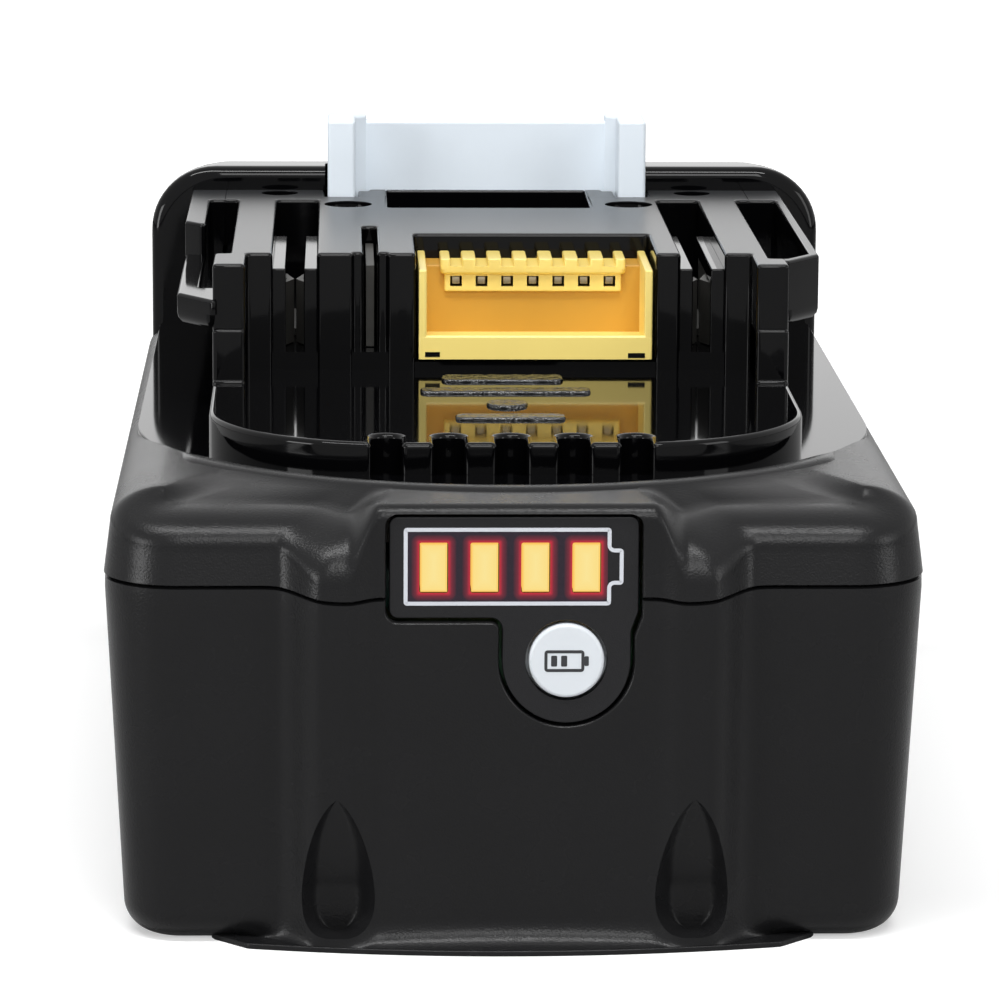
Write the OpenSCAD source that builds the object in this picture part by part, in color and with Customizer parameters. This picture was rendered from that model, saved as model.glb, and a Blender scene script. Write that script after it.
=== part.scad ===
// Slide-on battery pack for cordless tools: ten round cells in a two-part case,
// with guide rails, blade terminals, a signal socket, a sprung latch and a charge gauge.
// X runs across the pack, Y from the gauge end to the latch end, Z up from the base.

/* [Cells] */
// Diameter of one cell
cell_d = 18; // [17:0.1:19]
// Length of one cell
cell_l = 65; // [60:0.5:68]
// Free gap between neighbouring cells along the pack
cell_gap_y = 0.9; // [0.6:0.1:1.5]
// Free gap between the lower and the upper row of cells
cell_gap_z = 0.8; // [0.5:0.1:1.2]
// Thickness of a nickel strap
strap_t = 0.3; // [0.2:0.05:0.5]
// Width of the tab that a strap sends to the board
tab_w = 1.8; // [1.2:0.1:2.2]
// Thickness of an insulating sheet
sheet_t = 0.4; // [0.2:0.05:0.6]
// Length of cell that each holder grips
holder_d = 9.5; // [6:0.5:10]

/* [Case] */
// Wall thickness of the case
wall = 1.8; // [1.6:0.1:2.2]
// Inward lean of the lower case from its rim to its base
draft = 1.7; // [1.2:0.1:2]
// Radius of the edge round the base
edge_r = 3; // [2:0.25:4]
// Radius of the upright corners
corner_r = 7; // [6.5:0.5:9]
// Room in front of the cells for screws and the gauge
front_bay = 11; // [10.8:0.1:13]
// Room behind the cells for screws and the latch
rear_bay = 9.2; // [9:0.1:11]
// Height of the seam between the two cases
part_z = 33.6; // [32:0.2:34.5]
// Depth of the groove along the seam
seam = 0.3; // [0.2:0.05:0.5]
// Free height over the cells for strap tabs
tab_room = 0.8; // [0.8:0.1:1.5]
// Thickness of the deck under the rails
deck_t = 1.5; // [1.3:0.1:2.2]
// Distance that the two ridges on the front stand out of the sides
pad_d = 3.2; // [2:0.2:4]
// Width over the outer feet of the two ridges
pad_w = 46; // [44:0.5:48]
// Width of the flat middle between the two ridges
flat_w = 24.4; // [24:0.2:25]
// Depth of that middle behind the ridges
flat_in = 1; // [0.5:0.1:1.4]
// Height of the thin foot plate under the front
plate_h = 0.5; // [0.3:0.1:0.8]
// Width of the foot plate at its front edge
plate_w = 48.6; // [44:0.2:52]
// Distance that the ends of the foot plate's edge stay behind the ridges
plate_in = 1.4; // [1:0.1:1.8]
// Distance that the foot plate's edge bows forward in the middle
plate_bow = 2.8; // [1.6:0.1:2.9]

/* [Shoulder] */
// Height of the upright band above the seam
facet_h = 4.8; // [4:0.2:5.4]
// Inward lean of that band
facet_lean = 0.6; // [0.3:0.1:1]
// Depth of the rounded bevel above the band
bevel_run = 5; // [4:0.5:5.5]
// Step from the matt shoulder down to the polished deck
shoulder_rise = 0.4; // [0.2:0.1:0.8]
// Width of the shoulder beside the deck
rim_side = 1.8; // [1.4:0.1:3]
// Width of the shoulder in front of the deck
rim_front = 9.4; // [8:0.2:12]
// Radius of the two bosses beside the gauge
dome_r = 3.4; // [3:0.1:3.8]
// Radius of the edge over the gauge
brow_r = 1.4; // [1:0.1:2]
// Distance from the pack's middle to a boss
dome_x = 15.4; // [15:0.1:16]

/* [Platform] */
// Height of the platform over the deck
platform_h = 3; // [2.4:0.1:4]
// Width of the platform
platform_w = 56.8; // [55:0.2:58]
// Radius of the platform's front corners
platform_r = 18; // [14:0.5:22]
// Distance from the front of the pack to the platform's lip
platform_set = 17.25; // [16:0.25:20]
// Number of notches in the lip
notch_n = 5; // [1:2:5]
// Width of one notch
notch_w = 2.8; // [2:0.1:3.4]
// Depth of one notch
notch_d = 5; // [3:0.25:7]
// Depth of a notch's floor below the deck
notch_sink = 0.9; // [0.4:0.1:1]
// Distance from notch to notch
notch_pitch = 5.8; // [5:0.1:6.5]

/* [Terminal block] */
// Height of the block over the platform
block_h = 11.8; // [11:0.1:13]
// Distance from the front of the pack to the block
block_set = 57.9; // [55:0.1:60]
// Thickness of the side wings
wing_t = 3.2; // [2.6:0.1:4]
// Distance that the wings reach in front of the block
wing_d = 8; // [5:0.5:10]
// Step in the front of a wing, level with the rails
wing_step = 0.4; // [0.2:0.1:0.8]
// Distance from the pack's middle to a power slot
slot_x = 20.4; // [19.6:0.1:20.6]
// Width of a power slot
slot_w = 4.4; // [4.1:0.1:4.8]
// Length of a power slot
slot_l = 40; // [36:0.5:41]
// Depth of the slots from the top of the block
slot_depth = 10; // [9:0.1:10.6]
// Width of the gap between the shelves in the front part of a power slot
gap_w = 1.8; // [1.6:0.1:2.2]
// Length of the shelves
shelf_l = 24; // [22.5:0.5:30]
// Depth of the shelves below the top of the block
shelf_depth = 1.7; // [1:0.1:2.2]
// Thickness of the shelves
shelf_t = 1.5; // [1:0.1:1.8]
// Thickness of the wall in front of a contact
front_t = 2.2; // [1.8:0.1:2.6]
// Place of the narrow third slot across the pack
blade_x = -12.85; // [-13.2:0.05:-12.4]
// Width of the narrow third slot
blade_slot_w = 1.4; // [1.2:0.1:1.8]
// Length of the narrow third slot
blade_slot_l = 19.6; // [18:0.2:22]
// Width of the groove in front of the third slot
groove_w = 3.5; // [2.5:0.1:4]
// Depth of that groove
groove_d = 0.8; // [0.5:0.1:1.2]
// Length of the rectangular hole in front of the latch
hole_l = 9; // [7:0.5:10]
// Half width of the rectangular hole
hole_x = 10.7; // [9:0.1:10.8]
// Depth of the rectangular hole
hole_depth = 6; // [4:0.5:9]
// Diameter of the two shallow dimples
dimple_d = 5.1; // [4:0.1:6]
// Depth of the dimples and of the shallow marks
dimple_depth = 0.5; // [0.3:0.1:1]
// Distance from the pack's middle to a dimple
dimple_x = 15; // [14:0.1:15.4]
// Diameter of the two blind holes beside the latch
core_d = 4; // [3:0.1:4.4]
// Distance from the pack's middle to a blind hole
core_x = 22.4; // [21:0.1:24]
// Distance from the front of the block to the mouth of a contact
mouth_set = 3; // [2:0.5:5]
// Thickness of a contact's leaf
leaf_t = 0.7; // [0.5:0.05:0.8]
// Thickness of the platform and of the block's roof
roof_t = 1.6; // [1.4:0.1:2]

/* [Rails] */
// Distance that a rail reaches out past the platform
rail_over = 3.6; // [2.5:0.1:4.5]
// Height of a rail
rail_h = 6.4; // [5:0.1:7]
// Radius of a rail's lower outer edge
rail_r = 1; // [0.5:0.1:1.5]
// Height of the left rail's low front part
low_h = 2.9; // [2:0.1:4]
// Length of the left rail's low front part
low_l = 27; // [20:0.5:30]
// Distance that the left rail reaches in front of the block
rail_lead = 8.4; // [6:0.2:9]
// Distance that the right rail reaches in front of the block
right_lead = 5.2; // [4:0.2:6]
// Angle of the rails' slanted ends
lead_a = 54; // [45:1:58]
// Width of the pocket that lightens the left rail
pocket_w = 3; // [2:0.1:3.4]
// Width of the pocket that lightens the right rail
wide_pocket_w = 4.2; // [3:0.1:4.4]
// Depth of both pockets
pocket_depth = 5; // [3:0.1:5.6]
// Thickness of the wall in front of the right pocket, measured along the pack
pocket_wall = 1.9; // [1.5:0.1:2.4]

/* [Hump] */
// Depth of the raised end behind the rails
hump_d = 8.2; // [8:0.1:9]
// Height of the raised end over the block
hump_rise = 2.5; // [1.5:0.1:4]
// Radius of its upper side corners
hump_r = 7; // [4:0.5:9]
// Radius of its upper rear edge
hump_edge = 2.2; // [1:0.1:2.6]
// Inset of its sides from the widest part of the case
hump_in = 1; // [0.7:0.1:1.8]

/* [Latch] */
// Width of the latch
latch_w = 34.4; // [30:0.2:35]
// Height of the latch over the block
latch_rise = 8.2; // [7:0.1:9]
// Distance that the latch sinks when it is pressed
latch_travel = 7; // [5:0.1:7.2]
// Thickness of the latch's web
web_t = 2; // [1.6:0.1:2.2]
// Width of a latch post
post_w = 3; // [2.5:0.1:3.2]
// Distance that the posts stand in front of the web
post_d = 5.9; // [5:0.1:6.2]
// Size of the slanted flank between a post and the web
flank = 1.2; // [0.5:0.1:2]
// Drop of the web's top below the posts
web_drop = 0.7; // [0.3:0.1:1.5]
// Thickness of the wall between the latch and the thumb recess
back_t = 1.3; // [1:0.1:1.5]
// Distance that a spring bay reaches in behind the post
bay_in = 0.6; // [0.4:0.1:0.8]
// Thickness of the floor under a spring bay
bay_t = 1; // [0.8:0.1:1.4]
// Thickness of the latch's inner feet
foot_t = 2.5; // [2:0.1:3]
// Width of the thumb button
thumb_w = 28; // [20:0.5:30]
// Height of the thumb button
thumb_h = 9.8; // [8:0.2:10.5]
// Thickness of the thumb button
thumb_t = 3; // [2.4:0.1:3.2]
// Width of the stem that joins the thumb button to the latch
stem_w = 6.8; // [4:0.2:9]
// Height of that stem
stem_h = 3; // [2:0.1:4]
// Outer diameter of a latch spring
spring_d = 5; // [4:0.1:5.2]
// Wire diameter of a latch spring
spring_wire = 0.6; // [0.4:0.05:0.7]
// Turns of a latch spring
spring_turns = 5; // [3:1:5]

/* [Signal socket] */
// Middle of the socket across the pack
socket_x = 3.7; // [3.4:0.1:4]
// Width of the socket
socket_w = 23.4; // [22.5:0.1:24]
// Depth of the socket
socket_d = 14; // [12:0.1:15]
// Drop of the socket's top below the top of the block
socket_drop = 1.7; // [1:0.1:2.5]
// Wall thickness of the socket
socket_t = 0.8; // [0.7:0.05:1.2]
// Thickness of the socket's floor
socket_floor = 1.4; // [1:0.1:2]
// Height of the sill over that floor
sill_h = 1; // [0.5:0.1:1.6]
// Depth of the open mouth
mouth_d = 8; // [6:0.1:9]
// Number of signal pins
pin_n = 7; // [3:1:7]
// Distance from pin to pin
pin_pitch = 2.6; // [2.4:0.05:2.7]
// Width of one pin
pin_w = 1; // [0.7:0.05:1.1]
// Thickness of one pin
pin_t = 0.9; // [0.7:0.05:1]
// Length of one pin
pin_l = 3.4; // [3:0.1:3.8]
// Width of the comb over the pins
comb_w = 18.8; // [17.8:0.1:19.4]
// Height of the comb
comb_h = 1.6; // [1.2:0.1:2]
// Height of the narrower tier under the comb, round the contacts' windows
tier_h = 1.8; // [1.6:0.1:2]

/* [Gauge] */
// Width of the gauge panel
panel_w = 22.4; // [21.5:0.1:22.8]
// Middle of the panel across the pack
panel_x = -0.3; // [-0.5:0.1:0.2]
// Height of the panel without its lobe
panel_h = 9.3; // [8.5:0.1:9.5]
// Height of the panel's lower edge
panel_z = 31.1; // [30.5:0.1:31.4]
// Thickness of the panel
panel_t = 1.3; // [1:0.1:1.6]
// Depth of the panel behind the front face
panel_in = 0.6; // [0.5:0.1:0.8]
// Corner radius of the panel
panel_r = 0.8; // [0.4:0.1:1.5]
// Radius of the lobe round the check button
lobe_r = 5.8; // [5:0.1:6]
// Place of the check button across the pack
check_x = 4.45; // [4:0.05:4.6]
// Height of the check button's middle
check_z = 27.25; // [26.5:0.05:28]
// Radius of the check button
check_r = 3.4; // [2.8:0.1:3.6]
// Distance that the check button stands out of the panel
check_out = 0.35; // [0.2:0.05:0.5]
// Distance that the check button travels
check_travel = 0.6; // [0.3:0.05:0.7]
// Thickness of the collar that keeps the check button in
collar_t = 0.5; // [0.4:0.05:0.6]
// Width of that collar
collar_w = 0.7; // [0.5:0.1:0.9]
// Radius of the switch's plunger
plunger_r = 0.9; // [0.7:0.1:1.1]
// Width of the switch
switch_w = 4.5; // [4:0.1:5]
// Height of the switch over its board
switch_t = 1.4; // [1.2:0.1:1.6]
// Height of one lamp over its board
led_t = 0.8; // [0.6:0.1:1]
// Width of one lamp
led_w = 1.6; // [1.2:0.1:2]
// Number of lit windows
lamp_n = 4; // [2:1:4]
// Width of one lit window
lamp_w = 2.6; // [2:0.1:3]
// Height of one lit window
lamp_h = 4.6; // [3.5:0.1:5]
// Distance from window to window
lamp_pitch = 4.57; // [4:0.01:4.7]
// Shift of the windows from the panel's middle
lamp_shift = -0.35; // [-0.6:0.05:0]

/* [Fasteners] */
// Shank diameter of a case screw
screw_d = 3; // [2.5:0.1:3.4]
// Head diameter of a case screw
head_d = 4.8; // [4.2:0.1:5]
// Head height of a case screw
head_h = 2.2; // [1.6:0.1:2.6]
// Height of the face that a screw head pulls against
seat_z = 16; // [12:0.5:20]
// Wall round a screw bore
boss_t = 0.9; // [0.7:0.1:1.1]
// Radius of a front screw column
column_r = 5.2; // [5:0.1:5.3]
// Distance from the pack's middle to a front screw
screw_front_x = 16.2; // [16:0.1:16.6]
// Distance from the pack's middle to a rear screw
screw_rear_x = 28; // [26:0.2:29]
// Radius of the flute below a front screw
flute_r = 3.6; // [3:0.1:3.7]
// Height of the flute's point
flute_h = 14.7; // [12:0.1:16]

/* [Boards] */
// Thickness of a circuit board
board_t = 1.6; // [1:0.1:1.8]
// Free height over the control board
board_gap = 0.5; // [0.4:0.1:0.8]
// Radius of the front corners of the space for the board
cavity_r = 8; // [6:0.5:10]
// Thickness of the gauge board
gauge_board_t = 1.2; // [0.8:0.1:1.6]
// Width of the gauge ribbon
ribbon_w = 8; // [5:0.5:10]
// Thickness of the gauge ribbon
ribbon_t = 0.3; // [0.2:0.05:0.3]

/* [Fits] */
// Clearance between fixed pieces
fit = 0.3; // [0.2:0.05:0.35]
// Clearance round a cell
cell_fit = 0.1; // [0.05:0.05:0.2]
// Clearance round a moving piece
slide = 0.3; // [0.25:0.05:0.4]

/* [Hidden] */
EPS = 0.05;
OVER = 1;
ROWS = 2;
COLUMNS = 5;
STEPS = 6;
EDGE_STEP = 22.5;
BEVEL_STEP = 18;
$fn = 48;

// Heights, from the base up
row_z = [for (r = [0:ROWS - 1]) wall + fit + cell_d/2 + r*(cell_d + cell_gap_z)];
cells_top = row_z[ROWS - 1] + cell_d/2;
deck_under = cells_top + tab_room;
deck_z = deck_under + deck_t;
shoulder_z = deck_z + shoulder_rise;
platform_z = deck_z + platform_h;
block_top = platform_z + block_h;
rail_z = block_top - rail_h;
hump_top = block_top + hump_rise;
latch_top = block_top + latch_rise;
slot_floor = block_top - slot_depth;
bevel_z = part_z + facet_h;

// Places along and across the pack
cell_pitch = cell_d + cell_gap_y;
cells_y = COLUMNS*cell_d + (COLUMNS - 1)*cell_gap_y;
case_l = front_bay + cells_y + rear_bay;
cells_x = cell_l + 2*(strap_t + cell_fit + sheet_t);
case_w = cells_x + 4*fit + 2*(wall + draft);
front_y = -case_l/2;
rear_y = case_l/2;
first_y = front_y + front_bay + cell_d/2;
column_y = [for (k = [0:COLUMNS - 1]) first_y + k*cell_pitch];
lip_y = front_y + platform_set;
block_y = front_y + block_set;
hump_y = rear_y - hump_d;
deck_r = case_w/2 - rim_side;
deck_y = front_y + rim_front + deck_r;
half_p = platform_w/2;
wing_x = half_p - wing_t;
rail_x = half_p + rail_over;
pad_back = pad_d + wall + draft + edge_r;
middle_y = front_y + flat_in;

// Latch well: web, feet, springs and the wall between the well and the thumb recess
thumb_y = rear_y - thumb_t - slide;
well_y1 = thumb_y - slide - back_t;
web_y1 = well_y1 - slide;
web_y0 = web_y1 - web_t;
well_y0 = web_y0 - slide;
post_y = web_y0 - post_d;
latch_x = latch_w/2;
post_x = latch_x - post_w;
bay_x = hole_x + bay_in;
bay_floor = deck_under + bay_t;
bay_roof = block_top - roof_t;
foot_z = bay_roof - slide - foot_t;
thumb_floor = deck_z + slide;
thumb_z = thumb_floor + slide + latch_travel;
stem_z = thumb_z + thumb_h/3;
web_z = bay_floor + slide + latch_travel;
hole_y = post_y - hole_l;
spring_x = latch_x - spring_d/2;
spring_y = (post_y + web_y0)/2;
spring_r = (spring_d - spring_wire)/2;
spring_z0 = bay_floor + EPS;
spring_z1 = foot_z - EPS;

// Tails of the contacts, down to the board
tail_y0 = block_y + slot_l/3;
tail_y1 = block_y + slot_l/2;
blade_tail_y1 = tail_y0 + slot_l/8;

// Signal socket
socket_x0 = socket_x - socket_w/2;
socket_x1 = socket_x + socket_w/2;
socket_y0 = block_y - fit;
socket_y1 = socket_y0 + socket_d;
socket_z0 = platform_z + fit + socket_t;
socket_top = block_top - socket_drop;
mouth_y = socket_y0 + mouth_d;
comb_z = socket_top - comb_h;
pin_x = [for (k = [0:pin_n - 1]) socket_x + (k - (pin_n - 1)/2)*pin_pitch];
pin_z = comb_z - fit - pin_t;
pin_y = mouth_y + socket_t + fit;
pin_slot = pin_w + 2*cell_fit;

// Boards
board_in = roof_t + OVER;
board_z1 = platform_z - roof_t - board_gap;
board_z0 = board_z1 - board_t;
cavity_y0 = lip_y + notch_d + roof_t;
cavity_y1 = post_y - slide - roof_t;
board_y1 = cavity_y1 - OVER;

// Gauge
panel_y0 = middle_y + panel_in;
lamp_x = panel_x + lamp_shift;
lamp_z = panel_z + panel_h/2;
panel_y1 = panel_y0 + panel_t;
check_y0 = panel_y0 - check_out;
collar_r = check_r + collar_w;
collar_y = panel_y1 + slide;
plunger_y = collar_y + collar_t;
switch_y0 = plunger_y + check_travel + slide;
gauge_y0 = switch_y0 + switch_t;
gauge_y1 = gauge_y0 + gauge_board_t;
gauge_z0 = check_z - switch_w/2 - OVER;
gauge_z1 = deck_under - fit;
gauge_x = screw_front_x - column_r - fit - EPS;
brow_x = dome_x - dome_r + fit;

// Screws: front pair in the pad's columns, rear pair beside the latch
bore_r = head_d/2 + fit;
rear_boss_r = bore_r + boss_t;
screw_at = [for (s = [-1, 1]) each [
  [s*screw_front_x, front_y + front_bay - column_r - fit, column_r],
  [s*screw_rear_x, rear_y - rear_bay + rear_boss_r + fit, rear_boss_r]]];
shank_r = screw_d/2 + cell_fit;
screw_top = deck_under - fit - OVER;

// Straps: the first and last column that each strap joins, on each side
strap_cols = [[[0, 0], [1, 2], [3, 4]], [[0, 1], [2, 3], [4, 4]]];
side_names = ["left", "right"];
strap_names = [for (s = [0, 1]) [for (k = [0:2]) str("strap_", side_names[s], "_", k + 1)]];
cell_names = [for (k = [1:ROWS*COLUMNS]) str("cell_", k)];
spring_names = [for (s = side_names) str("latch_spring_", s)];

module box(a, b) {
  translate(a) cube(b - a);
}

module both_sides() {
  children();
  mirror([1, 0, 0]) children();
}

// Bar along X or Y between two places
module rod_x(x0, x1, r) {
  translate([x0, 0, 0]) rotate([0, 90, 0]) cylinder(r = r, h = x1 - x0);
}

module rod_y(y0, y1, r) {
  translate([0, y1, 0]) rotate([90, 0, 0]) cylinder(r = r, h = y1 - y0);
}

// Profile drawn in X and Z, drawn out from y0 to y1
module along_y(y0, y1) {
  translate([0, y1, 0]) rotate([90, 0, 0]) linear_extrude(y1 - y0) children();
}

// Profile drawn in Y and Z, drawn out from x0 to x1
module along_x(x0, x1) {
  translate([x0, 0, 0]) rotate([90, 0, 90]) linear_extrude(x1 - x0) children();
}

// Rectangle with round corners, seen from above
module rounded_rect(x, y0, y1, r) {
  translate([-x, y0 + r]) square([2*x, y1 - y0 - 2*r]);
  translate([r - x, y0]) square([2*(x - r), y1 - y0]);
  for (s = [-1, 1], y = [y0 + r, y1 - r]) translate([s*(x - r), y]) circle(r);
}

function back_to_front(list) = [for (k = [len(list) - 1:-1:0]) list[k]];

// Box with one upright profile all round: a side is a list of [inset, height] from the base up
module profiled_box(side, x, y0, y1, r) {
  top = side[len(side) - 1][1];
  for (s = [-1, 1], y = [y0 + r, y1 - r]) translate([s*(x - r), y, 0]) rotate_extrude()
    polygon(concat([[0, side[0][1]]], [for (p = side) [r - p[0], p[1]]], [[0, top]]));
  along_y(y0 + r, y1 - r)
    polygon(concat([for (p = side) [x - p[0], p[1]]], [for (p = back_to_front(side)) [p[0] - x, p[1]]]));
  along_x(r - x, x - r)
    polygon(concat([for (p = side) [y1 - p[0], p[1]]], [for (p = back_to_front(side)) [y0 + p[0], p[1]]]));
}

// Soft step from a to b in equal parts along the line
function soft_step(a, b) = [for (k = [0:STEPS])
  [a[0] + (b[0] - a[0])*k/STEPS, a[1] + (b[1] - a[1])*(1 - cos(180*k/STEPS))/2]];

// Front seen from above: a flat middle and a ridge at each side that falls away to the case
module pad_outline() {
  inner = soft_step([flat_w/2, flat_in], [dome_x, 0]);
  outer = soft_step([dome_x, 0], [pad_w/2, pad_d]);
  right = concat(inner, [for (k = [1:STEPS]) outer[k]], [[pad_w/2, pad_back]]);
  polygon(concat(right, [for (p = back_to_front(right)) [-p[0], p[1]]]));
}

// Thin plate under the front, with a bowed edge and slanted corners
module foot_plate() {
  y0 = front_y + draft + plate_in;
  y1 = front_y + pad_d + draft + edge_r;
  slant = y1 - y0;
  bowed = [for (k = [-STEPS:STEPS]) [plate_w/2*k/STEPS, y0 - plate_bow*(1 - pow(k/STEPS, 2))]];
  linear_extrude(plate_h)
    polygon(concat(bowed, [[plate_w/2 + slant, y1], [-plate_w/2 - slant, y1]]));
}

function lean(z) = draft*(1 - z/part_z);

lower_side = concat(
  [for (a = [0:EDGE_STEP:90]) let (z = edge_r*(1 - cos(a))) [lean(z) + edge_r*(1 - sin(a)), z]],
  [[lean(part_z - seam), part_z - seam], [seam, part_z]]);
upper_side = concat(
  [[seam, part_z], [0, part_z + seam]],
  [for (a = [0:BEVEL_STEP:90])
    [facet_lean + bevel_run*(1 - cos(a)), bevel_z + (shoulder_z - bevel_z)*sin(a)]]);

// Lower half of the case from outside: a leaning box and the ridged front
module lower_form() {
  profiled_box(lower_side, case_w/2, front_y + pad_d, rear_y, corner_r);
  intersection() {
    translate([0, front_y, part_z]) rotate([atan(draft/part_z), 0, 0]) translate([0, 0, -2*part_z])
      linear_extrude(2*part_z) pad_outline();
    along_x(-case_w/2, case_w/2) translate([front_y, 0])
      polygon(concat(lower_side, [[pad_back, part_z], [pad_back, 0]]));
  }
}

// Space for the cells, with the bay for the gauge in front
module inner_space(z0, z1) {
  inset = wall + draft;
  translate([0, 0, z0]) linear_extrude(z1 - z0) {
    rounded_rect(case_w/2 - inset, front_y + pad_d + inset, rear_y - inset, corner_r - inset);
    translate([-screw_front_x, middle_y + inset]) square([2*screw_front_x, pad_back]);
  }
}

// Screw columns inside the case
module columns(z0, z1) {
  for (s = screw_at) translate([s[0], s[1], z0]) cylinder(r = s[2], h = z1 - z0);
}

// Gauge panel seen from the front, grown by g
module panel_outline(g) {
  x0 = panel_x - panel_w/2 - g;
  z0 = panel_z - g;
  w = panel_w + 2*g;
  h = panel_h + 2*g;
  r = panel_r + g;
  translate([x0 + r, z0]) square([w - 2*r, h]);
  translate([x0, z0 + r]) square([w, h - 2*r]);
  for (x = [x0 + r, x0 + w - r], z = [z0 + r, z0 + h - r]) translate([x, z]) circle(r);
  translate([check_x, check_z]) circle(lobe_r + g);
  translate([check_x - lobe_r - g, check_z]) square([2*(lobe_r + g), panel_z + panel_h/2 - check_z]);
}

module gauge_opening() {
  along_y(front_y - OVER, middle_y + wall + draft + EPS) panel_outline(fit);
}

// Slanted cut that leaves a pointed flute in the leaning wall below a front screw
module flute() {
  foot_y = front_y + draft;
  tip_y = front_y + lean(flute_h) + flute_r;
  tilt = atan((tip_y - foot_y)/flute_h);
  translate([screw_front_x, foot_y, 0]) rotate([-tilt, 0, 0])
    translate([0, 0, -flute_h]) cylinder(r = flute_r, h = 2*flute_h);
}

module lower_case() {
  color("#232426") difference() {
    union() {
      difference() {
        lower_form();
        both_sides() flute();
      }
      foot_plate();
    }
    difference() {
      inner_space(wall, part_z + OVER);
      columns(0, part_z + OVER);
    }
    for (s = screw_at) translate([s[0], s[1], -OVER]) {
      cylinder(r = bore_r, h = seat_z + OVER);
      cylinder(r = shank_r, h = part_z + 2*OVER);
    }
    gauge_opening();
  }
}

// Slab with round front corners seen from above
module platform_outline(x, y0, y1, r) {
  translate([-x, y0 + r]) square([2*x, y1 - y0 - r]);
  translate([r - x, y0]) square([2*(x - r), r + EPS]);
  for (s = [-1, 1]) translate([s*(x - r), y0 + r]) circle(r);
}

module platform() {
  translate([0, 0, deck_z - EPS]) linear_extrude(platform_h + EPS)
    platform_outline(half_p, lip_y, hump_y + EPS, platform_r);
}

// Round-backed notches in the platform's lip, with a floor below the deck
module notches() {
  up = platform_h + notch_sink + OVER;
  for (k = [0:notch_n - 1])
    translate([(k - (notch_n - 1)/2)*notch_pitch, lip_y, deck_z - notch_sink]) {
      box([-notch_w/2, -EPS, 0], [notch_w/2, notch_d - notch_w/2, up]);
      translate([0, notch_d - notch_w/2, 0]) cylinder(d = notch_w, h = up);
    }
}

// Rail on the right: a bar with a rounded lower edge and a slanted lead-in, from y0 back
module rail(y0, h) {
  difference() {
    along_y(y0, hump_y + EPS) {
      translate([half_p - EPS, rail_z + rail_r]) square([rail_over + EPS, h - rail_r]);
      translate([half_p - EPS, rail_z]) square([rail_over + EPS - rail_r, h]);
      translate([rail_x - rail_r, rail_z + rail_r]) circle(rail_r);
    }
    translate([half_p, y0, 0]) rotate([0, 0, lead_a]) box([0, -rail_x, 0], [rail_x, 0, hump_top]);
  }
}

module terminal_block() {
  box([-half_p, block_y, platform_z - EPS], [half_p, hump_y + EPS, block_top]);
  both_sides() {
    box([wing_x, block_y - wing_d, platform_z - EPS], [half_p, block_y + EPS, rail_z]);
    box([wing_x, block_y - wing_d + wing_step, platform_z - EPS], [half_p, block_y + EPS, block_top]);
  }
  rail(block_y - right_lead, rail_h);
  mirror([1, 0, 0]) {
    rail(block_y - rail_lead, low_h);
    rail(block_y - rail_lead + low_l, rail_h);
  }
}

// Raised end across the full width, rounded along its sides and its rear edge
module hump() {
  x = case_w/2 - hump_in;
  edge_y = rear_y - hump_in + EPS - hump_edge;
  difference() {
    intersection() {
      along_y(hump_y, rear_y) {
        translate([-x, bevel_z]) square([2*x, hump_top - hump_r - bevel_z]);
        translate([hump_r - x, bevel_z]) square([2*(x - hump_r), hump_top - bevel_z]);
        for (s = [-1, 1]) translate([s*(x - hump_r), hump_top - hump_r]) circle(hump_r);
      }
      linear_extrude(hump_top)
        rounded_rect(x + EPS, front_y, rear_y - hump_in + EPS, corner_r - hump_in + EPS);
    }
    difference() {
      box([-x, edge_y, hump_top - hump_edge], [x, rear_y, hump_top + OVER]);
      translate([0, edge_y, hump_top - hump_edge]) rod_x(-x, x, hump_edge);
    }
  }
}

// Upright frame round the gauge, the two domed bosses beside it and the steps outside them
module brow() {
  y1 = front_y + rim_front;
  top = shoulder_z - EPS;
  box([-brow_x, middle_y, part_z + seam], [brow_x, y1, top - brow_r]);
  box([-brow_x, middle_y + brow_r, part_z + seam], [brow_x, y1, top]);
  translate([0, middle_y + brow_r, top - brow_r]) rod_x(-brow_x, brow_x, brow_r);
  both_sides() translate([dome_x, front_y + dome_r, 0]) {
    translate([0, 0, part_z + seam]) cylinder(r = dome_r, h = top - dome_r - part_z - seam);
    translate([0, 0, top - dome_r]) sphere(r = dome_r);
  }
  intersection() {
    translate([0, front_y, part_z]) linear_extrude(shoulder_z - part_z) pad_outline();
    along_x(-case_w/2, case_w/2) translate([front_y, 0]) polygon([
      [seam, part_z], [0, part_z + seam], [0, bevel_z - pad_d/2], [pad_d, bevel_z],
      [pad_back, bevel_z], [pad_back, part_z]]);
  }
}

module upper_form() {
  difference() {
    profiled_box(upper_side, case_w/2, front_y + pad_d, rear_y, corner_r);
    translate([0, 0, deck_z]) linear_extrude(OVER) {
      translate([0, deck_y]) circle(deck_r);
      translate([-deck_r, deck_y]) square([2*deck_r, rear_y - deck_y]);
    }
  }
  brow();
  platform();
  terminal_block();
  hump();
}

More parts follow.
